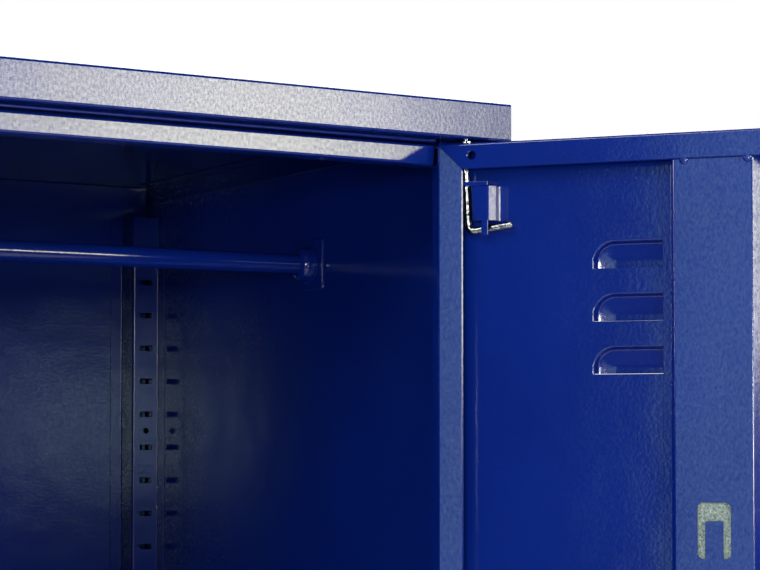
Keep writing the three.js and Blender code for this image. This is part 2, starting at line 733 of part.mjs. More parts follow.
function handlePlate() {
  const x = atT(LOCK_T);
  const { halfW, below, above, thick, corner } = HANDLE_PLATE;
  const outline = roundedRect([x - halfW, x + halfW], [LOCK_Z - below, LOCK_Z + above], ...corner);
  const plate = alongY(outline, spanN([-thick - GAP, -GAP]));
  return cut(plate, cylinderY(x, LOCK_Z, spanN([-thick - 2, 1]), SPINDLE_R + GAP));
}

// Where the hub sits on the plate, and its outer end.
const HUB_FOOT = -HANDLE_PLATE.thick - GAP * 2;
const HUB_END = HUB_FOOT - HANDLE_H;

// A lever on a round hub, with the spindle that goes through the door and the seat for the lock's plug.
function handleLever() {
  const x = atT(LOCK_T);
  const hub = cylinderY(x, LOCK_Z, spanN([HUB_END, HUB_FOOT]), HANDLE_HUB_R, 28);
  const z = [LOCK_Z - LEVER_HALF_W, LOCK_Z + LEVER_HALF_W];
  const outline = roundedRect([x, x + LEVER_L], z, END_ROUND, END_ROUND);
  const arm = alongY(outline, spanN([HUB_END, HUB_FOOT - LEVER_REST]));
  const spindle = cylinderY(x, LOCK_Z, spanN([HUB_FOOT - 1, SPINDLE_END_N]), SPINDLE_R, 16);
  const seat = cylinderY(x, LOCK_Z, spanN([HUB_END - 1, HUB_END + SEAT_DEEP]), SEAT_R, 24);
  return cut(join(hub, arm, spindle), seat);
}

function lockPlug() {
  const x = atT(LOCK_T);
  const { halfW, halfH, deep } = KEY_SLOT;
  const plug = cylinderY(x, LOCK_Z, spanN([HUB_END, HUB_END + PLUG_L]), PLUG_R, 24);
  const deepN = spanN([HUB_END - 1, HUB_END + deep]);
  const keyway = box([x - halfW, x + halfW], deepN, [LOCK_Z - halfH, LOCK_Z + halfH]);
  return cut(plug, keyway);
}

function lockCam() {
  const x = atT(LOCK_T);
  const z = [LOCK_Z - CAM_HALF_W, LOCK_Z + CAM_HALF_W];
  const outline = roundedRect([x - CAM_HALF_L, x + CAM_HALF_L], z, END_ROUND, END_ROUND);
  const bore = cylinderY(x, LOCK_Z, spanN([CAM_N[0] - 1, CAM_N[1] + 1]), SPINDLE_R + GAP, 16);
  return cut(alongY(outline, spanN(CAM_N)), bore);
}

function lockBolt(z) {
  return cylinderZ(atT(LOCK_T), 0, z, BOLT_R, 16);
}

function boltGuide(z) {
  const t = spanT([LOCK_T - GUIDE_HALF_W, LOCK_T + GUIDE_HALF_W]);
  const foot = [SHEET + GAP, SHEET * 2 + GAP];
  const ledge = box(t, spanN([foot[0], GUIDE_REACH]), [z - GUIDE_T, z]);
  const wall = box(t, spanN(foot), [z - GUIDE_FOOT_H, z]);
  return cut(join(ledge, wall), cylinderZ(atT(LOCK_T), 0, [z - GUIDE_T - 1, z + 1], BOLT_R + GAP * 2, 16));
}

function buildLock() {
  const group = new THREE.Group();
  place(group, "handle_plate", handlePlate(), plastic);
  place(group, "handle_lever", handleLever(), plastic);
  place(group, "lock_plug", lockPlug(), chrome);
  place(group, "lock_cam", lockCam(), zinc);
  place(group, "upper_lock_bolt", lockBolt([LOCK_Z + BOLT_START, DOOR_TOP - BOLT_END_GAP]), zinc);
  place(group, "lower_lock_bolt", lockBolt([DOOR_BOTTOM + BOLT_END_GAP, LOCK_Z - BOLT_START]), zinc);
  place(group, "upper_bolt_guide", boltGuide(GUIDE_Z[0]), zinc);
  place(group, "lower_bolt_guide", boltGuide(GUIDE_Z[1]), zinc);
  return group;
}

// ---------------------------------------------------------------- assembly

const rightDoor = buildDoor("right", true);
rightDoor.add(buildLock());
rightDoor.position.set(PIVOT_X, PIVOT_Y, 0);
rightDoor.rotation.z = THREE.MathUtils.degToRad(RIGHT_DOOR_OPEN);

const leftDoor = buildDoor("left", false);
leftDoor.scale.x = -1;
leftDoor.position.set(-PIVOT_X, PIVOT_Y, 0);

const cabinet = new THREE.Group();
cabinet.add(buildCarcass(), leftDoor, rightDoor);

export default cabinet;
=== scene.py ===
import json
import math

import bmesh
import bpy
from mathutils import Matrix, Vector


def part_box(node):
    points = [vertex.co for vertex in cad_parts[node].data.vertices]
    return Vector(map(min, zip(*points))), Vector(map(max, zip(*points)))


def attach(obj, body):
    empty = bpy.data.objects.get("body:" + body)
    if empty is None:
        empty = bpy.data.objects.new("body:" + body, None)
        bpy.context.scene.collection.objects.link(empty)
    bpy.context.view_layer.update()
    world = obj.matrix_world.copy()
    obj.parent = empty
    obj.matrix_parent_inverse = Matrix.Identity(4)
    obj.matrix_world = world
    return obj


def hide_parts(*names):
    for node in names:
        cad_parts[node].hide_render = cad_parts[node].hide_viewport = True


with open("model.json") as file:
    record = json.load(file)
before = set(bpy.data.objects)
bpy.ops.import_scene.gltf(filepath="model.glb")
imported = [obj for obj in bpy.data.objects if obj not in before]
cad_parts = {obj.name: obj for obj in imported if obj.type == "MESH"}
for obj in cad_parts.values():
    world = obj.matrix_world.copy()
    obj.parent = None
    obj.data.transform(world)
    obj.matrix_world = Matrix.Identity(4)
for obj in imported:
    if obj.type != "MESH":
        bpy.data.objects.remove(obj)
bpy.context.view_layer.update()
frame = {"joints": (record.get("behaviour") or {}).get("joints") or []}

# Lengths are in millimetres until a mesh is made.
MM = 0.001
SHEET = 1.2
BEND = 0.8  # inside radius of a fold
GAP = 0.3
SIDES = (("left", -1), ("right", 1))
ACROSS = (0, 1, 0)
UP = (0, 0, 1)


def limits(node):
    low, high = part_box(node)
    return low / MM, high / MM


ROOF = limits("roof_cap")
HALF_W = ROOF[1].x
FRONT = ROOF[0].y
REAR = ROOF[1].y
HEIGHT = ROOF[1].z
FASCIA_Z = ROOF[0].z
FASCIA_LIP = 13
PAN = limits("base_pan")
WALL_IN = PAN[1].x
BASE_TOP = PAN[1].z


# ------ mesh helpers


def plan(u, v, w):
    """A section in plan, run up Z."""
    return Vector((u, v, w))


def along_x(u, v, w):
    """A section drawn as (y, z), run along X."""
    return Vector((w, u, v))


def along_y(u, v, w):
    """A section drawn as (x, z), run along Y."""
    return Vector((u, w, v))


def new_object(name, data):
    obj = bpy.data.objects.new(name, data)
    bpy.context.scene.collection.objects.link(obj)
    return obj


def mesh_object(name, points, faces):
    """A closed mesh from points in millimetres, with its faces turned outwards."""
    mesh = bpy.data.meshes.new(name)
    mesh.from_pydata([Vector(p) * MM for p in points], [], faces)
    shape = bmesh.new()
    shape.from_mesh(mesh)
    bmesh.ops.remove_doubles(shape, verts=shape.verts, dist=1e-7)
    bmesh.ops.recalc_face_normals(shape, faces=shape.faces)
    if shape.calc_volume(signed=True) < 0:
        bmesh.ops.reverse_faces(shape, faces=shape.faces)
    shape.to_mesh(mesh)
    shape.free()
    return new_object(name, mesh)


def right_of(direction):
    return Vector((direction.y, -direction.x))


def fold(path, thickness, bend, steps):
    """The face and the back of a sheet with rounded folds. The back is to the right of the path.
    A point's third number, if any, is its own bend radius."""
    points = [Vector(p[:2]) for p in path]
    radii = [p[2] if len(p) > 2 else bend for p in path]
    face, back = [], []
    for i, p in enumerate(points):
        before = (p - points[i - 1]).normalized() if i else None
        after = (points[i + 1] - p).normalized() if i < len(points) - 1 else None
        if before is None or after is None:
            face.append(p)
            back.append(p + right_of(before or after) * thickness)
            continue
        a, b = right_of(before), right_of(after)
        turn = math.atan2(before.x * after.y - before.y * after.x, before.dot(after))
        towards = 1 if turn < 0 else -1  # a right-hand turn folds over the back
        r = radii[i]
        near, far = (r + thickness, r) if turn < 0 else (r, r + thickness)
        centre = p + (a + b) * (towards * near / (1 + a.dot(b)))
        start = math.atan2(a.y, a.x)
        for k in range(steps + 1):
            angle = start + turn * k / steps
            out = Vector((math.cos(angle), math.sin(angle))) * -towards
            face.append(centre + out * near)
            back.append(centre + out * far)
    return face, back


def sheet(name, path, span, place, thickness=SHEET, bend=BEND, steps=5):
    """A folded sheet of constant section between two stations."""
    face, back = fold(path, thickness, bend, steps)
    outline = face + back[::-1]
    count, last = len(outline), len(face) - 1
    points = [place(p.x, p.y, w) for w in span for p in outline]
    faces = [(i, (i + 1) % count, (i + 1) % count + count, i + count) for i in range(count)]
    for k in range(last):
        cap = (k, k + 1, count - 2 - k, count - 1 - k)
        faces.append(cap)
        faces.append(tuple(i + count for i in reversed(cap)))
    return mesh_object(name, points, faces)


def rectangle(x, y):
    return [Vector(c) for c in ((x[0], y[0]), (x[1], y[0]), (x[1], y[1]), (x[0], y[1]))]


def rounded(x, y, radii, inset, steps):
    """A rectangle's outline with rounded corners, counter-clockwise from the lower left.
    Its two radii are for the bottom and the top."""
    (x0, x1), (y0, y1) = x, y
    bottom, top = (max(r - inset, 0.02) for r in radii)
    x0, x1, y0, y1 = x0 + inset, x1 - inset, y0 + inset, y1 - inset
    corners = ((x0, y0, bottom, 180), (x1, y0, bottom, 270), (x1, y1, top, 0), (x0, y1, top, 90))
    outline = []
    for cx, cy, r, start in corners:
        mid = Vector((cx + r * (1 if cx == x0 else -1), cy + r * (1 if cy == y0 else -1)))
        for k in range(steps + 1):
            angle = math.radians(start + 90 * k / steps)
            outline.append(mid + Vector((math.cos(angle), math.sin(angle))) * r)
    return outline


def loft(name, rings, caps=True):
    """Skins rings of points, each with the same count. It closes with caps, or with its first ring."""
    count = len(rings[0])
    points = [p for ring in rings for p in ring]
    faces = []
    for k in range(len(rings) - (1 if caps else 0)):
        a, b = k * count, (k + 1) % len(rings) * count
        faces += [(a + i, a + (i + 1) % count, b + (i + 1) % count, b + i) for i in range(count)]
    if caps:
        faces.append(tuple(range(count)))
        faces.append(tuple(range(len(points) - count, len(points))))
    return mesh_object(name, points, faces)


def slab(name, outline, levels, place):
    """A loft of one outline, outline(inset), through levels of (inset, height)."""
    return loft(name, [[place(p.x, p.y, w) for p in outline(inset)] for inset, w in levels])


def quarter(radius, steps):
    """(inset, rise) round a quarter of a circle, from a flat to the wall at its edge."""
    angles = [math.pi / 2 * k / steps for k in range(steps + 1)]
    return [(radius * (1 - math.sin(a)), radius * (1 - math.cos(a))) for a in angles]


def soft_levels(low, high, radius, steps=3):
    """Levels for a slab whose two rims are rounded."""
    levels = [(inset, low + rise) for inset, rise in quarter(radius, steps)]
    return levels + [(inset, low + high - w) for inset, w in reversed(levels)]


def soft_box(name, x, y, z, radius=0.25, place=plan):
    """A box with rounded edges, lofted along Z."""
    outline = lambda inset: rounded(x, y, (radius + 0.3, radius + 0.3), inset, 3)
    return slab(name, outline, soft_levels(*z, radius), place)


def circle(centre, u, v, radius, sides):
    angles = [2 * math.pi * k / sides for k in range(sides)]
    return [centre + (u * math.cos(a) + v * math.sin(a)) * radius for a in angles]


def turned(name, profile, centre, axis, sides):
    """A lathe shape. Its profile of (radius, distance along the axis) closes on itself or on the axis."""
    axis = Vector(axis).normalized()
    u = axis.orthogonal().normalized()
    v = axis.cross(u)
    rings = [circle(Vector(centre) + axis * h, u, v, r, sides) for r, h in profile if r]
    return loft(name, rings, caps=profile[0][0] == 0)


def rod_profile(radius, low, high, chamfer=0.4):
    return [(0, low), (radius - chamfer, low), (radius, low + chamfer),
            (radius, high - chamfer), (radius - chamfer, high), (0, high)]


def bar(name, route, radius, sides, chamfer=0.5):
    """A round bar along a route of points, with chamfered ends."""
    route = [Vector(p) for p in route]
    rings = []
    side = None
    for i, p in enumerate(route):
        ahead = (route[min(i + 1, len(route) - 1)] - route[max(i - 1, 0)]).normalized()
        if side is None:
            side = ahead.orthogonal().normalized()
        side = (side - ahead * side.dot(ahead)).normalized()
        other = ahead.cross(side)
        stations = [(0, radius)]
        if i == 0:
            stations = [(0, radius - chamfer), (chamfer, radius)]
        elif i == len(route) - 1:
            stations = [(-chamfer, radius), (0, radius - chamfer)]
        rings += [circle(p + ahead * shift, side, other, r, sides) for shift, r in stations]
    return loft(name, rings)


def merged(objects, name="cutter"):
    """Several meshes as one object."""
    shape = bmesh.new()
    for obj in objects:
        shape.from_mesh(obj.data)
        bpy.data.objects.remove(obj)
    mesh = bpy.data.meshes.new(name)
    shape.to_mesh(mesh)
    shape.free()
    return new_object(name, mesh)


def carve(obj, tool, operation="DIFFERENCE"):
    """Cuts or joins by the exact boolean, and keeps the result as the object's mesh."""
    change = obj.modifiers.new("carve", "BOOLEAN")
    change.operation = operation
    change.solver = "EXACT"
    change.object = tool
    graph = bpy.context.evaluated_depsgraph_get()
    mesh = bpy.data.meshes.new_from_object(obj.evaluated_get(graph))
    obj.modifiers.clear()
    obj.data = mesh
    bpy.data.objects.remove(tool)
    return obj


def moved(obj, matrix):
    """Moves or mirrors the object's mesh itself."""
    obj.data.transform(matrix)
    if matrix.is_negative:
        obj.data.flip_normals()
    return obj


def finish(obj, bevel, smooth=32):
    """Rounds the cut edges a little, and shades folds smooth and edges crisp."""
    shape = bmesh.new()
    shape.from_mesh(obj.data)
    bmesh.ops.remove_doubles(shape, verts=shape.verts, dist=2e-6)
    bmesh.ops.dissolve_degenerate(shape, edges=shape.edges, dist=2e-6)
    for face in shape.faces:
        face.smooth = True
    limit = math.radians(smooth)
    for edge in shape.edges:
        edge.smooth = len(edge.link_faces) == 2 and edge.calc_face_angle(0) < limit
    shape.to_mesh(obj.data)
    shape.free()
    if bevel:
        change = obj.modifiers.new("edges", "BEVEL")
        change.width = bevel * MM
        change.segments = 2
        change.limit_method = "ANGLE"
        change.angle_limit = math.radians(50)
        change.use_clamp_overlap = True
    weighted = obj.modifiers.new("normals", "WEIGHTED_NORMAL")
    weighted.keep_sharp = True
    return obj


def piece(obj, body, material, nodes):
    """Gives a finished piece its material and its body, and hides the CAD nodes it stands for."""
    obj.data.materials.clear()
    obj.data.materials.append(material)
    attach(obj, body)
    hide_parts(*nodes)


# ------ camera

# The photograph's viewpoint: three quarters from the left, just below the roof, through a long lens.
EYE = Vector((-455.6, -1540.2, 1569.2)) * MM
TURN = math.radians(31.13)
TILT = math.radians(2.285)
LENS = 103.02
SENSOR = 36
SHIFT = 0.085


def make_camera():
    data = bpy.data.cameras.new("camera")
    data.lens = LENS
    data.sensor_width = SENSOR
    data.shift_y = SHIFT
    data.clip_start = 0.01
    data.clip_end = 100
    camera = new_object("camera", data)
    camera.location = EYE
    camera.rotation_euler = (math.pi / 2 + TILT, 0, -TURN)
    bpy.context.scene.camera = camera


make_camera()


# ------ materials
# Noise scales are per metre, and bump distances are in metres.


def with_values(node, values):
    """Sets a node's inputs by their names, where an underscore stands for a space."""
    for name, value in values.items():
        node.inputs[name.replace("_", " ")].default_value = value
    return node


def new_node(tree, kind, **values):
    return with_values(tree.nodes.new(f"ShaderNode{kind}"), values)


def new_material(name, **values):
    """A material, its node tree and its shader, which has the values given."""
    material = bpy.data.materials.new(name)
    material.use_nodes = True
    tree = material.node_tree
    return material, tree, with_values(tree.nodes["Principled BSDF"], values)


def noise(tree, scale, detail=2.0, rough=0.5, stretch=None):
    node = new_node(tree, "TexNoise", Scale=scale, Detail=detail, Roughness=rough)
    source = new_node(tree, "TexCoord").outputs["Object"]
    if stretch:
        mapping = new_node(tree, "Mapping", Scale=stretch)
        tree.links.new(source, mapping.inputs["Vector"])
        source = mapping.outputs["Vector"]
    tree.links.new(source, node.inputs["Vector"])
    return node.outputs["Fac"]


def ramp(tree, value, low, high, start=0.3, end=0.7):
    """Colours between low and high as the value goes from start to end."""
    node = new_node(tree, "ValToRGB")
    node.color_ramp.elements[0].position = start
    node.color_ramp.elements[0].color = (*low, 1)
    node.color_ramp.elements[1].position = end
    node.color_ramp.elements[1].color = (*high, 1)
    tree.links.new(value, node.inputs["Fac"])
    return node.outputs["Color"]


def scaled(tree, value, low, high):
    """A noise value's middle part, spread from low to high."""
    node = new_node(tree, "MapRange", From_Min=0.3, From_Max=0.7, To_Min=low, To_Max=high)
    tree.links.new(value, node.inputs["Value"])
    return node.outputs["Result"]


def bumps(tree, layers):
    """Bump nodes in a chain, one for each (height, distance)."""
    normal = None
    for height, distance in layers:
        node = new_node(tree, "Bump", Strength=1.0, Distance=distance)
        tree.links.new(height, node.inputs["Height"])
        if normal:
            tree.links.new(normal, node.inputs["Normal"])
        normal = node.outputs["Normal"]
    return normal


def surface(tree, shader, colour, roughness=None, relief=None, specular=None):
    """Feeds the shader's colour, and its roughness, normal and specular level where given."""
    names = ("Base Color", "Roughness", "Normal", "Specular IOR Level")
    for name, source in zip(names, (colour, roughness, relief, specular)):
        if source:
            tree.links.new(source, shader.inputs[name])


def paint_material():
    """Gloss cobalt powder coat: a deep blue under a clear gloss, with orange peel in it."""
    material, tree, shader = new_material("blue_paint", IOR=1.52)
    tone = noise(tree, 9, 3)
    peel = noise(tree, 420, 2, 0.55)
    wave = noise(tree, 26, 1)
    grain = noise(tree, 620, 3, 0.6, (1, 1, 0.6))
    colour = ramp(tree, tone, (0.0012, 0.0100, 0.125), (0.0016, 0.0125, 0.145))
    relief = bumps(tree, [(wave, 0.00025), (peel, 0.00005)])
    surface(tree, shader, colour, scaled(tree, peel, 0.11, 0.15), relief, scaled(tree, grain, 0.3, 0.72))
    return material


def zinc_material():
    """Bright zinc plate, with fine drawing lines and a slightly cloudy gloss."""
    material, tree, shader = new_material("zinc", Metallic=1.0)
    cloud = noise(tree, 560, 3, 0.6)
    lines = noise(tree, 900, 2, 0.6, (1, 1, 0.15))
    colour = ramp(tree, cloud, (0.03, 0.031, 0.034), (0.60, 0.61, 0.62), 0.36, 0.64)
    relief = bumps(tree, [(cloud, 0.00035), (lines, 0.00004)])
    surface(tree, shader, colour, scaled(tree, cloud, 0.06, 0.14), relief)
    return material


def fibre_material():
    """Pressed fibre strip: pale grey-green with light and dark flecks."""
    material, tree, shader = new_material("fibre_strip", Roughness=0.9)
    fleck = noise(tree, 650, 4, 0.7)
    colour = ramp(tree, fleck, (0.06, 0.09, 0.08), (0.30, 0.36, 0.33), 0.35, 0.68)
    surface(tree, shader, colour, None, bumps(tree, [(fleck, 0.0006)]))
    return material


def plastic_material():
    """Black moulded plastic with a fine leather-like grain."""
    material, tree, shader = new_material("black_plastic")
    grain = noise(tree, 1100, 2)
    colour = ramp(tree, grain, (0.012, 0.012, 0.014), (0.022, 0.022, 0.025))
    surface(tree, shader, colour, scaled(tree, grain, 0.38, 0.5), bumps(tree, [(grain, 0.00006)]))
    return material


def chrome_material():
    """Polished lock plug with faint turning marks."""
    material, tree, shader = new_material("chrome", Metallic=1.0)
    marks = noise(tree, 1500, 2)
    colour = ramp(tree, marks, (0.74, 0.75, 0.77), (0.84, 0.85, 0.86))
    surface(tree, shader, colour, scaled(tree, marks, 0.08, 0.16))
    return material


PAINT = paint_material()
ZINC = zinc_material()
FIBRE = fibre_material()
PLASTIC = plastic_material()
CHROME = chrome_material()


def painted(obj, node, body="carcass", bevel=0.25):
    piece(finish(obj, bevel), body, PAINT, [node])


def plated(obj, node, body="carcass", bevel=0.25):
    piece(finish(obj, bevel), body, ZINC, [node])


# ------ carcass

PIN_HOLE_R = 3.0
BOLT_HOLE_R = 3.7
JOINTS = {j["name"]: j for j in frame["joints"]}


def joint_place(name):
    return Vector(JOINTS[name]["pos_m"]) / MM


PIVOT = joint_place("right_door_hinge")
LEFT_DOOR = limits("left_door_pan")
DOOR_W = LEFT_DOOR[1].x - LEFT_DOOR[0].x
DOOR_T = 18
PIVOT_T = -PIVOT.x - LEFT_DOOR[0].x
PIVOT_N = DOOR_T - (LEFT_DOOR[1].y - PIVOT.y)
DOOR_BOTTOM = LEFT_DOOR[0].z
DOOR_TOP = LEFT_DOOR[1].z
DOOR_MID = (DOOR_TOP + DOOR_BOTTOM) / 2
RIGHT_OPEN = -math.radians(JOINTS["right_door_hinge"]["range_deg"][0])
LOCK_T = 338
LOCK_Z = joint_place("handle_turn").z
BOLT_X = PIVOT.x + PIVOT_T - LOCK_T


def hole(centre, axis, radius, half=3.0):
    """A cutter for a round hole."""
    profile = [(0, -half), (radius, -half), (radius, half), (0, half)]
    return turned("cutter", profile, centre, axis, 28)


def cut_box(x, y, z):
    return loft("cutter", [[plan(*p, w) for p in rectangle(sorted(x), sorted(y))] for w in z])


def door_holes(z):
    made = [hole((s * PIVOT.x, PIVOT.y, z), UP, PIN_HOLE_R) for _, s in SIDES]
    return made + [hole((BOLT_X, PIVOT.y, z), UP, BOLT_HOLE_R)]


def roof_cap():
    front = [(FRONT + FASCIA_LIP, FASCIA_Z), (FRONT, FASCIA_Z), (FRONT, HEIGHT)]
    path = [*front, (REAR, HEIGHT), (REAR, FASCIA_Z)]
    cap = sheet("roof_cap_piece", path, (-HALF_W, HALF_W), along_x)
    lip = (FRONT + SHEET, FRONT + FASCIA_LIP + 1), (FASCIA_Z - 1, FASCIA_Z + SHEET + 1)
    ends = [cut_box((s * WALL_IN, s * (HALF_W + 1)), *lip) for _, s in SIDES]
    carve(cap, merged(ends + door_holes(FASCIA_Z + SHEET / 2)))
    painted(cap, "roof_cap")


CHANNEL_LIP = 8
CHANNEL_BACK = 12  # how far above its lowest point the channel's rear flange ends


def roof_front_channel():
    low, high = limits("roof_front_channel")
    path = [(low.y + CHANNEL_LIP, low.z), (low.y, low.z), (low.y, high.z)]
    path += [(high.y, high.z), (high.y, low.z + CHANNEL_BACK)]
    painted(sheet("roof_channel_piece", path, (low.x, high.x), along_x), "roof_front_channel")


SIDE_RAIL_LIP = 6


def roof_side_rails():
    for side, s in SIDES:
        low, high = limits(f"roof_side_rail_{side}")
        wall, tip = (high.x, low.x) if s > 0 else (low.x, high.x)
        path = [(wall - s * SIDE_RAIL_LIP, low.z), (wall, low.z), (wall, high.z), (tip, high.z)]
        if s > 0:
            path.reverse()
        made = sheet(f"roof_side_rail_{side}_piece", path, (low.y, high.y), along_y)
        painted(made, f"roof_side_rail_{side}")


MIRROR_X = Matrix.Scale(-1, 4, (1, 0, 0))
JAMB_X = 388
JAMB_Y = -271
STILE_X = 360
STILE_LIP = 10
WALL_LIP = 14  # the wall's flange behind the rear panel


def side_panel(side, s):
    """The side's wall with its rear flange, and in front the folded jamb and the stile behind the door."""
    path = [
        (HALF_W - WALL_LIP, REAR),
        (HALF_W, REAR),
        (HALF_W, FRONT),
        (JAMB_X, FRONT),
        (JAMB_X, JAMB_Y),
        (STILE_X, JAMB_Y),
        (STILE_X, JAMB_Y + STILE_LIP),
    ]
    low, high = limits(f"side_panel_{side}")
    above = (FASCIA_Z - GAP, HEIGHT)
    panel = sheet(f"side_panel_{side}_piece", path, (low.z, high.z), plan)
    cuts = [
        cut_box((JAMB_X - 3, HALF_W + 1), (FRONT - 1, FRONT + SHEET + GAP), above),
        cut_box((JAMB_X - 3, WALL_IN), (FRONT - 1, FRONT + FASCIA_LIP + GAP), above),
        cut_box((HALF_W - WALL_LIP - 2, HALF_W + 1), (REAR - SHEET - GAP, REAR + 1), above),
        cut_box((STILE_X - 1, JAMB_X - 0.1), (JAMB_Y - 1, JAMB_Y + STILE_LIP + 1), (-1, BASE_TOP + GAP)),
    ]
    for tool in cuts:
        carve(panel, tool)
    if s < 0:
        moved(panel, MIRROR_X)
    painted(panel, f"side_panel_{side}")


def rear_panel():
    low, high = limits("rear_panel")
    path = [(high.x, high.y), (high.x, low.y), (low.x, low.y), (low.x, high.y)]
    painted(sheet("rear_panel_piece", path, (low.z, high.z), plan), "rear_panel")


SLOT_X = 385.7
SLOT = (11.9, 4.6)
SLOT_R = (0.8, 0.8)
SLOT_RIM = 0.35
SLOT_TOP_Z = 1709.3
SLOT_PITCH = 30
SLOT_COUNT = 54
SLOT_HOLE_R = 2.75
SLOT_HOLE_STEPS = (4.5, 22.5, 40.5)  # the round holes' places, in pitches below the top slot
POST_FLANGE = 12
POST_STEP = 10.5  # from the post's free edge to its slotted face


def slot_cutter(z, y):
    """A slot's cutter. It widens towards the face, which leaves the slot's rim rounded."""
    half_w, half_h = SLOT[0] / 2, SLOT[1] / 2
    x, height = (SLOT_X - half_w, SLOT_X + half_w), (z - half_h, z + half_h)
    outline = lambda inset: rounded(x, height, SLOT_R, inset, 3)
    rim = SLOT_RIM
    levels = [(-rim, y - 1), (-rim, y), (-rim * 0.3, y + rim * 0.3), (0, y + rim), (0, y + SHEET + 1)]
    return slab("cutter", outline, levels, along_y)


def slotted_post():
    low, high = limits("rear_post_right")
    face_x = low.x + POST_STEP
    face_y = low.y + POST_FLANGE
    path = [
        (low.x, high.y),
        (face_x + SHEET, high.y),
        (face_x + SHEET, face_y + SHEET),
        (high.x, face_y + SHEET),
        (high.x, low.y),
    ]
    post = sheet("rear_post_right_piece", path, (low.z, high.z), plan)
    cutters = [slot_cutter(SLOT_TOP_Z - k * SLOT_PITCH, face_y) for k in range(SLOT_COUNT)]
    for k in SLOT_HOLE_STEPS:
        z = SLOT_TOP_Z - k * SLOT_PITCH
        cutters.append(hole((SLOT_X, face_y, z), ACROSS, SLOT_HOLE_R))
    return carve(post, merged(cutters))


def posts():
    first = slotted_post()
    rear, front = limits("rear_post_right"), limits("front_post_right")
    middle = (rear[1].y + front[0].y) * MM
    to_front = Matrix.Translation((0, middle, 0)) @ Matrix.Scale(-1, 4, (0, 1, 0))
    made = {"rear_post_right": first}
    for node, matrix in (
        ("rear_post_left", MIRROR_X),
        ("front_post_right", to_front),
        ("front_post_left", MIRROR_X @ to_front),
    ):
        made[node] = moved(new_object(f"{node}_piece", first.data.copy()), matrix)
    for node, post in made.items():
        painted(post, node, bevel=0)


RAIL_HALF = 351
END_START = 22  # how far from its end the top rail's face starts to lean back, at mid height
END_LEAN = math.tan(math.radians(5.5))
END_SLANT = -1.7  # how the line where it starts slants
END_STATIONS = (0, 2, 4, 6)  # the lean grows over these, counted from that line


def leaned_ends(rail, low, high):
    """The face of the rail leans back a little towards both its ends."""
    shape = bmesh.new()
    shape.from_mesh(rail.data)
    middle = (low.z + high.z) / 2
    ease = END_STATIONS[-1]
    for _, s in SIDES:
        for station in END_STATIONS:
            start = Vector((s * (RAIL_HALF - END_START + station), 0, middle)) * MM
            geometry = shape.verts[:] + shape.edges[:] + shape.faces[:]
            bmesh.ops.bisect_plane(shape, geom=geometry, plane_co=start, plane_no=(s, 0, END_SLANT))
    for vert in shape.verts:
        p = vert.co / MM
        past = abs(p.x) - (RAIL_HALF - END_START) + END_SLANT * (p.z - middle)
        if past > 0 and p.y < low.y + BEND + SHEET + 0.1:
            curved = min(past, ease)
            vert.co.y += END_LEAN * (curved**2 / (2 * ease) + past - curved) * MM
    shape.to_mesh(rail.data)
    shape.free()


def front_rail(node, path):
    low, high = limits(node)
    rail = sheet(f"{node}_piece", path, (low.x, high.x), along_x)
    if node == "front_top_rail":
        leaned_ends(rail, low, high)
    for _, s in SIDES:
        tool = cut_box((s * RAIL_HALF, s * STILE_X), (low.y - 1, JAMB_Y), (low.z - 1, high.z + 1))
        carve(rail, tool)
    painted(rail, node)


TOP_RAIL_LIP = 16
TOP_RAIL_BACK = 4  # how far above its lowest point the top rail's rear flange ends


def front_rails():
    low, high = limits("front_top_rail")
    path = [(low.y + TOP_RAIL_LIP, low.z), (low.y, low.z), (low.y, high.z)]
    path += [(high.y, high.z), (high.y, low.z + TOP_RAIL_BACK)]
    front_rail("front_top_rail", path)
    low, high = limits("front_bottom_rail")
    path = [(low.y, low.z), (low.y, high.z), (high.y, high.z), (high.y, low.z)]
    front_rail("front_bottom_rail", path)


def base_pan():
    low, high = PAN
    path = [(FRONT + FASCIA_LIP, low.z), (FRONT, low.z), (FRONT, high.z)]
    path += [(high.y, high.z), (high.y, low.z)]
    pan = sheet("base_pan_piece", path, (low.x, high.x), along_x)
    room = (FRONT - 1, JAMB_Y + 3), (0, BASE_TOP + 1)
    corners = [cut_box((s * (JAMB_X - 2 * GAP), s * HALF_W), *room) for _, s in SIDES]
    carve(pan, merged(corners + door_holes(BASE_TOP - SHEET / 2)))
    painted(pan, "base_pan")


def inset_polygon(points, distance):
    """The outline moved inwards; its points run counter-clockwise."""
    inner = []
    for i, p in enumerate(points):
        before = (p - points[i - 1]).normalized()
        after = (points[(i + 1) % len(points)] - p).normalized()
        a, b = -right_of(before), -right_of(after)
        inner.append(p + (a + b) * (distance / (1 + a.dot(b))))
    return inner


def tray(name, outline, profile):
    """A folded tray. Its profile of (inset, height) goes from the outer face over its edge inside."""
    rings = [[Vector((q.x, q.y, z)) for q in inset_polygon(outline, inset)] for inset, z in profile]
    return loft(name, rings)


def tray_profile(base, edge, steps=4):
    """From a flat at height base, round a fold to the cut edge at height edge, and back inside."""
    up = 1 if edge > base else -1
    profile = [(inset, base + up * rise) for inset, rise in quarter(BEND + SHEET, steps)]
    profile += [(0, edge - up * 0.2), (0.2, edge), (SHEET - 0.2, edge), (SHEET, edge - up * 0.2)]
    inside = reversed(quarter(BEND, steps))
    return profile + [(SHEET + inset, base + up * (SHEET + rise)) for inset, rise in inside]


def base_tray():
    low, high = limits("base_tray")
    outline = rectangle((low.x, high.x), (low.y, high.y))
    painted(tray("base_tray_piece", outline, tray_profile(low.z, high.z)), "base_tray")


SHELF_CLEAR = 1  # the gap between the shelf and the posts


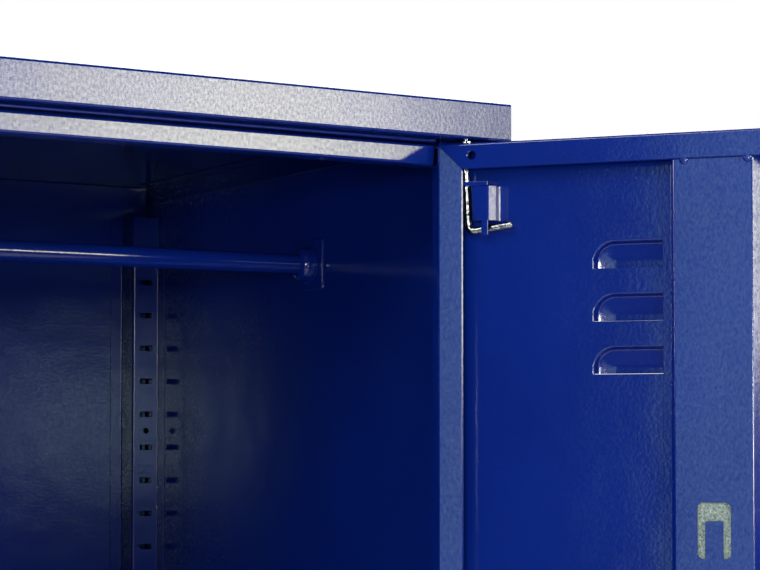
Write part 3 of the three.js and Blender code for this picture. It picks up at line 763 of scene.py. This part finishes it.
def shelf():
    """The shelf's tray, with its corners cut out round the posts."""
    low, high = limits("shelf")
    post = limits("rear_post_right")[0]
    step_x, clip = post.x + POST_STEP - SHELF_CLEAR, post.y - SHELF_CLEAR
    front = limits("front_post_right")[1].y + SHELF_CLEAR
    outline = [
        (-step_x, low.y), (step_x, low.y), (step_x, front),
        (high.x, front), (high.x, clip), (step_x, clip),
        (step_x, high.y), (-step_x, high.y), (-step_x, clip),
        (low.x, clip), (low.x, front), (-step_x, front),
    ]
    made = tray("shelf_piece", [Vector(c) for c in outline], tray_profile(high.z, low.z))
    painted(made, "shelf")


CLIP_SLOT = 45  # which slot holds a clip, counted from the top one
CLIP_T = 2
CLIP_TONGUE = (4.3, 1.4)  # its length and its half height


def shelf_clips():
    slot_z = SLOT_TOP_Z - CLIP_SLOT * SLOT_PITCH
    length, half = CLIP_TONGUE
    for side, _ in SIDES:
        for where in ("rear", "front"):
            node = f"{where}_shelf_clip_{side}"
            low, high = limits(node)
            r = 1 if where == "rear" else -1
            back, tip = (high.y, low.y) if r > 0 else (low.y, high.y)
            upright = back - r * length
            path = [(upright, low.z), (upright, high.z), (tip, high.z)]
            if r < 0:
                path.reverse()
            clip = sheet(f"{node}_piece", path, (low.x, high.x), along_x, CLIP_T, 1)
            tongue = cut_box((low.x, high.x), (upright - r, back), (slot_z - half, slot_z + half))
            carve(clip, tongue, "UNION")
            plated(clip, node)


PLATE_CORNERS = (3.5, 3.5)
CUP_FLANGE = 2.1


def plate_levels(low, high, s):
    """Levels of a wall plate whose edge slopes in towards the room."""
    wall, room = (high, low) if s > 0 else (low, high)
    edge = [(0.15, wall), (0, wall - s * 0.15), (0.55, room + s * 0.35)]
    return edge + [(0.75, room + s * 0.1), (1.1, room)]


def rod_plate(side, s):
    low, high = limits(f"rod_plate_{side}")
    outline = lambda inset: rounded((low.y, high.y), (low.z, high.z), PLATE_CORNERS, inset, 4)
    plate = slab(f"rod_plate_{side}_piece", outline, plate_levels(low.x, high.x, s), along_x)
    painted(plate, f"rod_plate_{side}", bevel=0)


def cup_profile(bore, rim, length, steps=7):
    """A flange at the wall, and a neck that rounds in towards the rod."""
    profile = [(bore, 0), (rim - 0.4, 0), (rim, 0.4), (rim, 1.6), (rim - 0.5, CUP_FLANGE)]
    neck = rim - 1.2
    for left, inwards in quarter(1, steps):
        out = neck - (neck - bore - 1.3) * inwards
        profile.append((out, CUP_FLANGE + (length - CUP_FLANGE - 0.5) * (1 - left)))
    return profile + [(bore + 0.8, length), (bore, length - 0.3)]


def rod_cup(side, s, centre, radius):
    low, high = limits(f"rod_cup_{side}")
    profile = cup_profile(radius + GAP, (high.z - low.z) / 2, high.x - low.x)
    start = (high.x if s > 0 else low.x, centre.y, centre.z)
    cup = turned(f"rod_cup_{side}_piece", profile, start, (-s, 0, 0), 56)
    painted(cup, f"rod_cup_{side}", bevel=0)


def hanging_rod():
    low, high = limits("hanging_rod")
    centre = (low + high) / 2
    radius = (high.z - low.z) / 2
    profile = rod_profile(radius, low.x, high.x)
    made = turned("hanging_rod_piece", profile, (0, centre.y, centre.z), (1, 0, 0), 72)
    painted(made, "hanging_rod", bevel=0)
    for side, s in SIDES:
        rod_plate(side, s)
        rod_cup(side, s, centre, radius)


def hinge_sockets():
    for side, s in SIDES:
        for level in ("upper", "lower"):
            node = f"{level}_hinge_socket_{side}"
            low, high = limits(node)
            plate = soft_box(f"{node}_piece", *zip(low, high))
            carve(plate, hole((s * PIVOT.x, PIVOT.y, low.z), UP, PIN_HOLE_R, 8))
            plated(plate, node, bevel=0)


def build_carcass():
    roof_cap()
    roof_front_channel()
    roof_side_rails()
    for side, s in SIDES:
        side_panel(side, s)
    rear_panel()
    posts()
    front_rails()
    base_pan()
    base_tray()
    shelf()
    shelf_clips()
    hanging_rod()
    hinge_sockets()


build_carcass()


# ------ doors
# Door points are (t, n, z): t from the hinge-side edge, n from the outer face inwards.

TURNED = Matrix.Rotation(RIGHT_OPEN, 4, "Z")


def on_right(t, n, z):
    return TURNED @ Vector((PIVOT_T - t, n - PIVOT_N, 0)) + Vector((PIVOT.x, PIVOT.y, z))


def on_left(t, n, z):
    return Vector((t - PIVOT_T - PIVOT.x, n - PIVOT_N + PIVOT.y, z))


DOOR_LIP = 18
# How steeply a lip falls towards its cut edge.
LIP_TILT = {"hinge": math.tan(math.radians(6.5)), "free": math.tan(math.radians(1.0))}
# The lip's cut edge and its chamfer: how far short of the lip's width, and how far below its face.
LIP_EDGE = ((0.85, 0), (0.72, 0.05), (0.05, 0.72), (0, 0.85), (0, SHEET - 0.02), (0.02, SHEET))
MITRE = 0.3


def pan_profile(steps=4):
    """(inset, n, is it on a lip) from the outer skin, round the edge and the lip, to the inner skin."""
    outer, inner = quarter(BEND + SHEET, steps), quarter(BEND, steps)[::-1]
    profile = [(inset, n, False) for inset, n in outer]
    profile += [(inset, DOOR_T - n, i > 0) for i, (n, inset) in enumerate(outer)]
    profile += [(DOOR_LIP - short, DOOR_T - drop, True) for short, drop in LIP_EDGE]
    profile += [(SHEET + inset, DOOR_T - SHEET - n, i < steps) for i, (n, inset) in enumerate(inner)]
    return profile + [(SHEET + inset, SHEET + n, False) for inset, n in inner]


def door_pan(name, place):
    """The door's one folded sheet. Each lip ends at its own side of a mitre, so the corners show a seam."""
    sides = ("bottom", "free", "top", "hinge")
    corner = (
        (0, DOOR_BOTTOM, 1, 1),
        (DOOR_W, DOOR_BOTTOM, -1, 1),
        (DOOR_W, DOOR_TOP, -1, -1),
        (0, DOOR_TOP, 1, -1),
    )
    profile = pan_profile()
    points, index = [], {}

    def vertex(j, c, side):
        inset, n, on_lip = profile[j]
        key = (j, c, side if on_lip else None)
        if key not in index:
            t0, z0, st, sz = corner[c]
            t, z = t0 + st * inset, z0 + sz * inset
            if on_lip:
                shift = MITRE / math.sqrt(2) * min(1, inset / 2)
                if sides[side] in ("bottom", "top"):
                    t += st * shift
                else:
                    z += sz * shift
                n -= LIP_TILT.get(sides[side], 0) * max(0, inset - BEND - SHEET)
            index[key] = len(points)
            points.append(place(t, n, z))
        return index[key]

    faces = []
    count = len(profile)
    for side in range(4):
        a, b = side, (side + 1) % 4
        for j in range(count - 1):
            quad = ((j, a), (j, b), (j + 1, b), (j + 1, a))
            faces.append([vertex(*key, side) for key in quad])
    lip = [j for j in range(count) if profile[j][2]]
    ends = [lip[0] - 1, *lip, lip[-1] + 1]
    half = len(ends) // 2
    for c in range(4):
        for side in (c, (c - 1) % 4):
            ring = [vertex(j, c, side) for j in ends]
            for k in range(half):
                quad = (ring[k], ring[k + 1], ring[-2 - k], ring[-1 - k])
                faces.append(tuple(dict.fromkeys(quad)))
    faces = [f for f in faces if len(set(f)) > 2]
    faces += [[vertex(j, c, 0) for c in range(4)] for j in (0, count - 1)]
    return mesh_object(name, points, faces)


LOUVRE_T = (106, 276)
LOUVRE_H = 18.3
LOUVRE_PITCH = 35.7
LOUVRE_TOPS = (1701.2, 245.4)
LOUVRE_ROWS = 3
LOUVRE_R = 15
LOUVRE_SHALLOW = 0.28  # how much less deep it is at its top, as a share
# (inset, n) of the hood's outside: from the skin, round its rim and up its crowned top.
HOOD = (
    (-1.2, 0.6), (-1.2, 0), (-0.9, -0.7), (-0.1, -4.3), (0.6, -5.2),
    (2.0, -5.6), (5.5, -6.1), (8, -6.4), (11, -6.75), (14.5, -6.95),
)
# The same of its inside, from the rounded mouth at the door's inner skin.
RECESS = (
    (-0.5, 2.4), (-0.5, 1.2), (-0.15, 1.15), (0.3, 0.85), (0.7, 0.4), (0.95, -0.3), (1.9, -3.1),
    (2.3, -3.6), (2.8, -3.8), (4.5, -4.08), (6.5, -4.4), (9, -4.78), (12, -5.2), (14.6, -5.5),
)


def louvre_solid(top, levels, drop, place):
    """A louvre's hood or its recess: round at the top, square at the bottom, shallower towards the top."""
    low = top - LOUVRE_H
    rings = []
    for inset, n in levels:
        x = (LOUVRE_T[0] + inset, LOUVRE_T[1] - inset)
        ring = []
        for p in rounded(x, (low - drop, top - inset), (0.02, LOUVRE_R - inset), 0, 10):
            share = min(1, max(0, (top - p.y) / LOUVRE_H))
            deep = n * (1 - LOUVRE_SHALLOW * (1 - share)) if n < 0 else n
            ring.append(place(p.x, deep, p.y))
        rings.append(ring)
    return loft("cutter", rings)


def door_louvres(pan, place):
    tops = [top - row * LOUVRE_PITCH for top in LOUVRE_TOPS for row in range(LOUVRE_ROWS)]
    carve(pan, merged([louvre_solid(z, HOOD, 0, place) for z in tops]), "UNION")
    carve(pan, merged([louvre_solid(z, RECESS, 0.5, place) for z in tops]))


def placed_hole(place, t, n, z, axis, radius, half=4):
    """A round cutter in the door's own directions."""
    centre = place(t, n, z)
    direction = place(t + axis[0], n + axis[1], z + axis[2]) - centre
    return hole(centre, direction, radius, half)


LIP_HOLE = (25, DOOR_TOP - 8.7, 2.85)  # t, z and radius
TAB_T = (172.7, 214.9)
TAB_R = 3
TAB_SUNK = 0.4  # how far the tab's own zero lies below the lip's face
TAB_DROP = 0.6  # how far its centre lies below the lip's cut edge
SPINDLE_HOLE_R = 6


def spot_tab(t, place):
    """A small domed tongue that the top lip presses over the stiffener's end."""
    profile = [(0, -1.4), (TAB_R - 0.3, -1.4), (TAB_R, -1.2), (TAB_R, -1)]
    profile += [(TAB_R - 0.8, -0.2), (1.2, 0.1), (0, 0.2)]
    centre = place(t, DOOR_T - TAB_SUNK, DOOR_TOP - DOOR_LIP - TAB_DROP)
    return turned("cutter", profile, centre, place(t, DOOR_T + 1, 0) - place(t, DOOR_T, 0), 32)


def flared_hole(place, t, z, radius, rim=0.65):
    """A cutter for a hole through the lip, wider at the face, which rounds the hole's rim."""
    face = place(t, DOOR_T, z)
    axis = place(t, DOOR_T + 1, z) - face
    profile = [(0, -3), (radius, -3), (radius, -rim), (radius + rim, 0)]
    return turned("cutter", profile + [(radius + rim, 2), (0, 2)], face, axis, 36)


def make_door(side, place):
    body = f"{side}_door"
    pan = door_pan(f"{side}_door_pan_piece", place)
    door_louvres(pan, place)
    ends = (DOOR_TOP, DOOR_BOTTOM)
    cutters = [placed_hole(place, PIVOT_T, PIVOT_N, z, UP, PIN_HOLE_R) for z in ends]
    cutters.append(flared_hole(place, *LIP_HOLE))
    if side == "right":
        cutters += [placed_hole(place, LOCK_T, PIVOT_N, z, UP, BOLT_HOLE_R) for z in ends]
        cutters.append(placed_hole(place, LOCK_T, 0, LOCK_Z, ACROSS, SPINDLE_HOLE_R, 3))
    carve(pan, merged(cutters))
    carve(pan, merged([spot_tab(t, place) for t in TAB_T]), "UNION")
    painted(pan, f"{side}_door_pan", body, bevel=0)
    stiffener(side, place, body)
    damper(side, place, body)
    hinge_set(side, place)


STIFF_T = 191.3
STIFF_FACE = 53.5
STIFF_BASE = 60.6
STIFF_RAMP = 11.4  # the width of its free side's wall, which slopes more gently
STIFF_FLANGE = 4
STIFF_WIDE = 73
STIFF_N = 16
STIFF_TWIST = 0.9  # how much lower the free side of its face lies
CUTOUT = (22.3, 37, 4)  # width, height and corner radius of the slot
CUTOUT_TOP = 1526.1
TONGUE = (11.8, 24.8)  # width and height of the tongue in it
TONGUE_R = (0.02, 1.2)


def slot_in_stiffener(top, place):
    """The inverted U: a rounded window less the tongue that stands in it."""
    w, h, r = CUTOUT
    x = (STIFF_T - w / 2, STIFF_T + w / 2)
    at = lambda u, v, n: place(u, n, v)
    outline = lambda inset: rounded(x, (top - h, top), (r, r), inset, 6)
    n0, n1 = STIFF_N - SHEET - 3, STIFF_N + 2
    window = slab("cutter", outline, [(0, n0), (0, n1)], at)
    tongue_x = (STIFF_T - TONGUE[0] / 2, STIFF_T + TONGUE[0] / 2)
    tongue_z = (top - h - 2, top - h + TONGUE[1])
    narrow = lambda inset: rounded(tongue_x, tongue_z, TONGUE_R, inset, 4)
    tongue = slab("cutter", narrow, [(0, n0 - 1), (0, n1 + 1)], at)
    return carve(window, tongue)


def stiffener(side, place, body):
    foot = SHEET * 2 + GAP
    free = STIFF_T + STIFF_FACE / 2
    path = [
        (STIFF_T - STIFF_WIDE / 2, foot),
        (STIFF_T - STIFF_BASE / 2, foot),
        (STIFF_T - STIFF_FACE / 2, STIFF_N),
        (free, STIFF_N - STIFF_TWIST),
        (free + STIFF_RAMP, foot),
        (free + STIFF_RAMP + STIFF_FLANGE, foot),
    ]
    z = (DOOR_BOTTOM + SHEET + GAP, DOOR_TOP - SHEET - GAP)
    made = sheet(f"{side}_door_stiffener_piece", path, z, place, SHEET, 1.0, 6)
    for top in (CUTOUT_TOP, 2 * DOOR_MID - CUTOUT_TOP + CUTOUT[1]):
        carve(made, slot_in_stiffener(top, place))
    painted(made, f"{side}_door_stiffener", body)


STRIP_MARGIN = 4
STRIP_Z = (270, 1590)


def damper(side, place, body):
    """The fibre strip that lies behind the stiffener's slots."""
    half = STIFF_FACE / 2 - STRIP_MARGIN
    t = (STIFF_T - half, STIFF_T + half)
    n = (SHEET + GAP, STIFF_N - SHEET - 1.2)
    made = soft_box(f"{side}_door_damping_piece", t, n, STRIP_Z, 0.6, place)
    piece(finish(made, 0), body, FIBRE, [f"{side}_door_damping_strip"])


PIN_R = 2.5
PIN_RISE = 11
PIN_DROP = 60.4
PIN_LEG = 34
PIN_SLOPE = 0.13
PIN_BEND = 5.5
PIN_KINK = 2.1  # how far its lower end leans along the door
BRACKET_N = 13.5
BRACKET_Z = (1717, 1744)
BRACKET_WALL_T = 22.6
BRACKET_CORNER_T = 36
BRACKET_LEAN = 0.06
BRACKET_EYE_T = (11.5, 35.2)
BRACKET_EYE_H = 3
BRACKET_TONGUE_T = (30.4, 35.4)
BRACKET_TONGUE_Z = 1707
WASHER_R = 5.3
WASHER_T = 1.8


def upside(place):
    """The same place, mirrored about the door's mid height."""
    return lambda t, n, z: place(t, n, 2 * DOOR_MID - z)


def pin_route():
    """(t, n, z) along the pin: down through the door's edge, round the bend and along the door."""
    elbow = DOOR_TOP - PIN_DROP
    along = Vector((1, 0, PIN_SLOPE)).normalized()
    corner = Vector((PIVOT_T + PIN_KINK, PIVOT_N, elbow))
    kink = Vector((PIVOT_T, PIVOT_N, BRACKET_Z[1] + 4))
    start = corner + (kink - corner).normalized() * PIN_BEND
    end = corner + along * PIN_BEND
    route = [Vector((PIVOT_T, PIVOT_N, DOOR_TOP + PIN_RISE)), kink + Vector((0, 0, 3)), kink]
    for k in range(10):
        f = k / 9
        route.append(start * (1 - f) ** 2 + corner * 2 * f * (1 - f) + end * f**2)
    route.append(corner + along * (PIN_LEG - PIN_KINK))
    return route


def pin_bracket(name, place):
    """A hat-shaped strip with an eye round the pin's upper part and a tongue that holds its leg."""
    foot = SHEET + GAP
    wall, corner = BRACKET_WALL_T, BRACKET_CORNER_T
    path = [
        (wall, foot),
        (wall, 12.6, 0.4),
        (23.3, 13.1, 0.3),
        (24.9, BRACKET_N, 0.3),
        (corner, BRACKET_N, 0.4),
        (40.2, 9.55, 0.3),
        (40.5, 5.4, 0.3),
        (41.4, 4.5, 0.8),
        (45.6, foot + SHEET),
    ]

    def leaning(t, n, z):
        """Its hinge-side wall leans with the pin."""
        share = min(1, max(0, (corner - t) / (corner - wall)))
        return place(t + share * (BRACKET_Z[1] - z) * BRACKET_LEAN, n, z)

    low, high = BRACKET_Z
    body = sheet("hat", path, (low, high - BRACKET_EYE_H - 0.4), leaning, SHEET, 1.0, 7)
    n, z = (foot + 0.1, BRACKET_N - 0.15), (high - BRACKET_EYE_H, high - 0.05)
    eye = soft_box("cutter", BRACKET_EYE_T, n, z, 0.3, place)
    n, z = (BRACKET_N - SHEET + 0.05, BRACKET_N - 0.04), (BRACKET_TONGUE_Z, low + 2)
    tongue = soft_box("cutter", BRACKET_TONGUE_T, n, z, 0.3, place)
    carve(eye, placed_hole(place, PIVOT_T, PIVOT_N, high - 1, UP, PIN_HOLE_R))
    return merged([body, eye, tongue], name)


def washer(name, place):
    z = (DOOR_TOP + GAP, DOOR_TOP + GAP + WASHER_T)
    r, edge = WASHER_R, 0.3
    profile = [(PIN_HOLE_R, 0), (r - edge, 0), (r, edge), (r, WASHER_T - edge)]
    profile += [(r - edge, WASHER_T), (PIN_HOLE_R, WASHER_T)]
    start = place(PIVOT_T, PIVOT_N, z[0])
    return turned(name, profile, start, place(PIVOT_T, PIVOT_N, z[1]) - start, 40)


def hinge_set(side, place):
    for level, at in (("upper", place), ("lower", upside(place))):
        name = f"{side}_{level}"
        pin = bar(f"{name}_pin_piece", [at(*p) for p in pin_route()], PIN_R, 28)
        plated(pin, f"{name}_hinge_pin", f"{name}_pin", bevel=0)
        bracket = pin_bracket(f"{name}_bracket_piece", at)
        painted(bracket, f"{name}_pin_bracket", f"{side}_door")
        ring = washer(f"{name}_washer_piece", at)
        plated(ring, f"{name}_washer", f"{side}_door", bevel=0)


make_door("right", on_right)
make_door("left", on_left)


# ------ lock

HANDLE_PLATE = ((-17, 17), (-75, 25), (8, 16))  # t, z and corner radii, from the handle's axis
LEVER_N = -3.6  # where the lever's hub starts, just off its plate
HUB_R = 12
HUB_END = 14
ARM_T = (-92, 0)
ARM_HALF = 8
ARM_R = (7.9, 7.9)
DRIVE_R = 4
DRIVE_END = 15.5
PLUG_R = 5.6
PLUG_END = 7.5
KEYWAY = ((-0.8, 0.8), (-3.5, 3.5), (0.5, 0.5))
CAM_T = (-26, 26)
CAM_N = (6.5, 9.5)
BOLT_R = 3
GUIDE_T = 1.6
GUIDE_LEG = 16
GUIDE_N = 14
GUIDE_HALF = 9
GUIDE_HOLE_R = 3.5


def lock_slab(name, t, z, radii, steps, n, rim, rim_steps=4):
    """A slab with rounded corners and rims, parallel to the door. t and z start from the handle's axis."""
    x = (LOCK_T + t[0], LOCK_T + t[1])
    y = (LOCK_Z + z[0], LOCK_Z + z[1])
    outline = lambda inset: rounded(x, y, radii, inset, steps)
    at = lambda u, v, w: on_right(u, w, v)
    return slab(name, outline, soft_levels(*n, rim, rim_steps), at)


def lock_hole(n, radius, half):
    return placed_hole(on_right, LOCK_T, n, LOCK_Z, ACROSS, radius, half)


def lock_turned(name, profile, n, inwards, sides):
    """A lathe piece on the handle's axis. It runs into the door if inwards is 1, and out of it if -1."""
    axis = on_right(LOCK_T, 1, 0) - on_right(LOCK_T, 0, 0)
    return turned(name, profile, on_right(LOCK_T, n, LOCK_Z), axis * inwards, sides)


def handle_plate():
    plate = lock_slab("handle_plate_piece", *HANDLE_PLATE, 10, (LEVER_N + GAP, -GAP), 1.2)
    carve(plate, lock_hole(-2, 4.5, 5))
    piece(finish(plate, 0), "right_door", PLASTIC, ["handle_plate"])


def handle_lever():
    """The hub with its arm, and the spindle that turns the cam."""
    profile = [(0, 0), (HUB_R - 0.6, 0), (HUB_R, 0.6), (HUB_R, HUB_END - 2.5)]
    profile += [(HUB_R - 0.5, HUB_END - 1), (HUB_R - 1.8, HUB_END), (0, HUB_END)]
    hub = lock_turned("handle_lever_piece", profile, LEVER_N, -1, 64)
    n = (LEVER_N - HUB_END, LEVER_N - 5)
    arm = lock_slab("cutter", ARM_T, (-ARM_HALF, ARM_HALF), ARM_R, 8, n, 3, 5)
    spindle = lock_turned("cutter", rod_profile(DRIVE_R, -1, DRIVE_END - LEVER_N), LEVER_N, 1, 32)
    carve(hub, arm, "UNION")
    carve(hub, spindle, "UNION")
    carve(hub, lock_hole(LEVER_N - 10.5, 6, 4.5))
    piece(finish(hub, 0), "handle", PLASTIC, ["handle_lever"])


def lock_plug():
    plug = lock_turned("lock_plug_piece", rod_profile(PLUG_R, 0, PLUG_END), LEVER_N - HUB_END, 1, 40)
    n = (LEVER_N - HUB_END - 2, LEVER_N - HUB_END + 3)
    carve(plug, lock_slab("cutter", *KEYWAY, 3, n, 0.05, 1))
    piece(finish(plug, 0), "lock_plug", CHROME, ["lock_plug"])


def lock_cam():
    cam = lock_slab("lock_cam_piece", CAM_T, (-ARM_HALF, ARM_HALF), ARM_R, 8, CAM_N, 0.4)
    carve(cam, lock_hole(CAM_N[0] + 1.5, DRIVE_R + GAP, 4))
    plated(cam, "lock_cam", "handle", bevel=0)


def lock_bolt(level):
    low, high = limits(f"{level}_lock_bolt")
    profile = rod_profile(BOLT_R, low.z, high.z, 0.8)
    bolt = turned(f"{level}_bolt_piece", profile, on_right(LOCK_T, PIVOT_N, 0), UP, 32)
    plated(bolt, f"{level}_lock_bolt", f"{level}_bolt", bevel=0)


def bolt_guide(level):
    """An angle bracket on the door's skin, with a hole that the bolt slides in."""
    top = limits(f"{level}_bolt_guide")[1].z
    foot = SHEET + GAP
    path = [(foot, top - GUIDE_LEG), (foot, top), (GUIDE_N, top)]
    at = lambda u, v, w: on_right(w, u, v)
    span = (LOCK_T - GUIDE_HALF, LOCK_T + GUIDE_HALF)
    guide = sheet(f"{level}_guide_piece", path, span, at, GUIDE_T, BEND)
    carve(guide, placed_hole(on_right, LOCK_T, PIVOT_N, top, UP, GUIDE_HOLE_R))
    plated(guide, f"{level}_bolt_guide", "right_door")


def build_lock():
    handle_plate()
    handle_lever()
    lock_plug()
    lock_cam()
    for level in ("upper", "lower"):
        lock_bolt(level)
        bolt_guide(level)


build_lock()


# ------ studio

AIM = Vector((0.3, -0.35, 1.6))  # the spot that the softboxes face, in metres
STAND = 3.2  # how far from it they stand


def soft_light(name, heading, height, size, power, colour=(1, 1, 1)):
    """A softbox in metres and watts, at a heading and an elevation in degrees as seen from AIM."""
    data = bpy.data.lights.new(name, "AREA")
    data.shape = "RECTANGLE"
    data.size, data.size_y = size
    data.energy = power
    data.color = colour
    light = new_object(name, data)
    heading, height = math.radians(heading), math.radians(height)
    flat = math.cos(height)
    away = Vector((math.cos(heading) * flat, math.sin(heading) * flat, math.sin(height)))
    light.location = AIM + away * STAND
    light.rotation_euler = away.to_track_quat("Z", "Y").to_euler()
    return data


def fade_across(data, stops):
    """Makes a softbox brighter in some places across its width."""
    data.use_nodes = True
    tree = data.node_tree
    place, split = new_node(tree, "NewGeometry"), new_node(tree, "SeparateXYZ")
    shade = new_node(tree, "ValToRGB")
    shade.color_ramp.interpolation = "EASE"
    for position, value in stops:
        stop = shade.color_ramp.elements.new(position)
        stop.color = (value, value, value, 1)
    shade.color_ramp.elements.remove(shade.color_ramp.elements[0])
    tree.links.new(place.outputs["Parametric"], split.inputs["Vector"])
    tree.links.new(split.outputs["X"], shade.inputs["Fac"])
    tree.links.new(shade.outputs["Color"], tree.nodes["Emission"].inputs["Strength"])


# Between these distances from its middle, in metres, the floor comes to look evenly pale.
FLOOR_PALE = (0.7, 3.6)
FLOOR_GLOW = 0.72
FLOOR_HALF = 7.0
FLOOR_CELLS = 14


def make_floor():
    """A pale floor, which stays pale to the eye where the softboxes don't reach."""
    shape = bmesh.new()
    bmesh.ops.create_grid(shape, x_segments=FLOOR_CELLS, y_segments=FLOOR_CELLS, size=FLOOR_HALF)
    mesh = bpy.data.meshes.new("floor")
    shape.to_mesh(mesh)
    shape.free()
    floor = new_object("floor", mesh)
    pale, glow = (0.82, 0.82, 0.83, 1), (0.97, 0.98, 1.0, 1)
    material, tree, shader = new_material("floor", Roughness=0.7, Base_Color=pale, Emission_Color=glow)
    links = tree.links
    place, path = new_node(tree, "NewGeometry"), new_node(tree, "LightPath")
    away, seen = new_node(tree, "VectorMath"), new_node(tree, "Math")
    away.operation = "LENGTH"
    seen.operation = "MULTIPLY"
    start, end = FLOOR_PALE
    far = new_node(tree, "MapRange", From_Min=start, From_Max=end, To_Max=FLOOR_GLOW)
    far.interpolation_type = "SMOOTHSTEP"
    links.new(place.outputs["Position"], away.inputs[0])
    links.new(away.outputs["Value"], far.inputs["Value"])
    links.new(far.outputs["Result"], seen.inputs[0])
    links.new(path.outputs["Is Camera Ray"], seen.inputs[1])
    links.new(seen.outputs["Value"], shader.inputs["Emission Strength"])
    mesh.materials.append(material)


def make_world():
    """White behind the object, and a dim studio in its reflections."""
    world = bpy.data.worlds.new("studio")
    bpy.context.scene.world = world
    world.use_nodes = True
    tree, links = world.node_tree, world.node_tree.links
    tree.nodes.clear()
    dim = new_node(tree, "Background", Color=(0.55, 0.6, 0.7, 1), Strength=0.03)
    white = new_node(tree, "Background", Color=(1, 1, 1, 1), Strength=1.0)
    path, mix, out = (new_node(tree, kind) for kind in ("LightPath", "MixShader", "OutputWorld"))
    links.new(path.outputs["Is Camera Ray"], mix.inputs["Fac"])
    links.new(dim.outputs["Background"], mix.inputs[1])
    links.new(white.outputs["Background"], mix.inputs[2])
    links.new(mix.outputs["Shader"], out.inputs["Surface"])


# Where across the key softbox, and how bright.
KEY_FADE = (
    (0.0, 0.45), (0.24, 0.74), (0.4, 0.83), (0.54, 0.86),
    (0.67, 0.73), (0.76, 0.52), (0.85, 0.35), (0.99, 0.15),
)

make_floor()
make_world()
key = soft_light("key", 297, 9.5, (1.3, 0.85), 61, (1.0, 0.98, 0.74))
fade_across(key, KEY_FADE)
soft_light("front_high", 222, 27, (1.2, 1.0), 36)
soft_light("front_strip", 264, 6.5, (0.36, 0.55), 14)
soft_light("front_low", 277, 7.5, (0.9, 0.8), 26)
soft_light("front_under", 262, -14, (0.9, 0.6), 10)
soft_light("side_wash", 228, -0.5, (0.4, 0.35), 36)
soft_light("front_fill", 296, 3, (0.9, 0.7), 1.4)
soft_light("camera_side", 244, 0.2, (0.62, 0.3), 6.5, (0.75, 1.0, 1.0))
soft_light("left", 170, 8, (0.8, 0.7), 34)
soft_light("left_high", 193, 40, (1.2, 1.3), 32)
soft_light("left_strip", 212.5, 1.5, (0.75, 1.5), 5.0, (0.62, 1.0, 1.0))
soft_light("back", 60, 35, (1.6, 1.6), 60)
bpy.context.scene.view_settings.view_transform = "Standard"
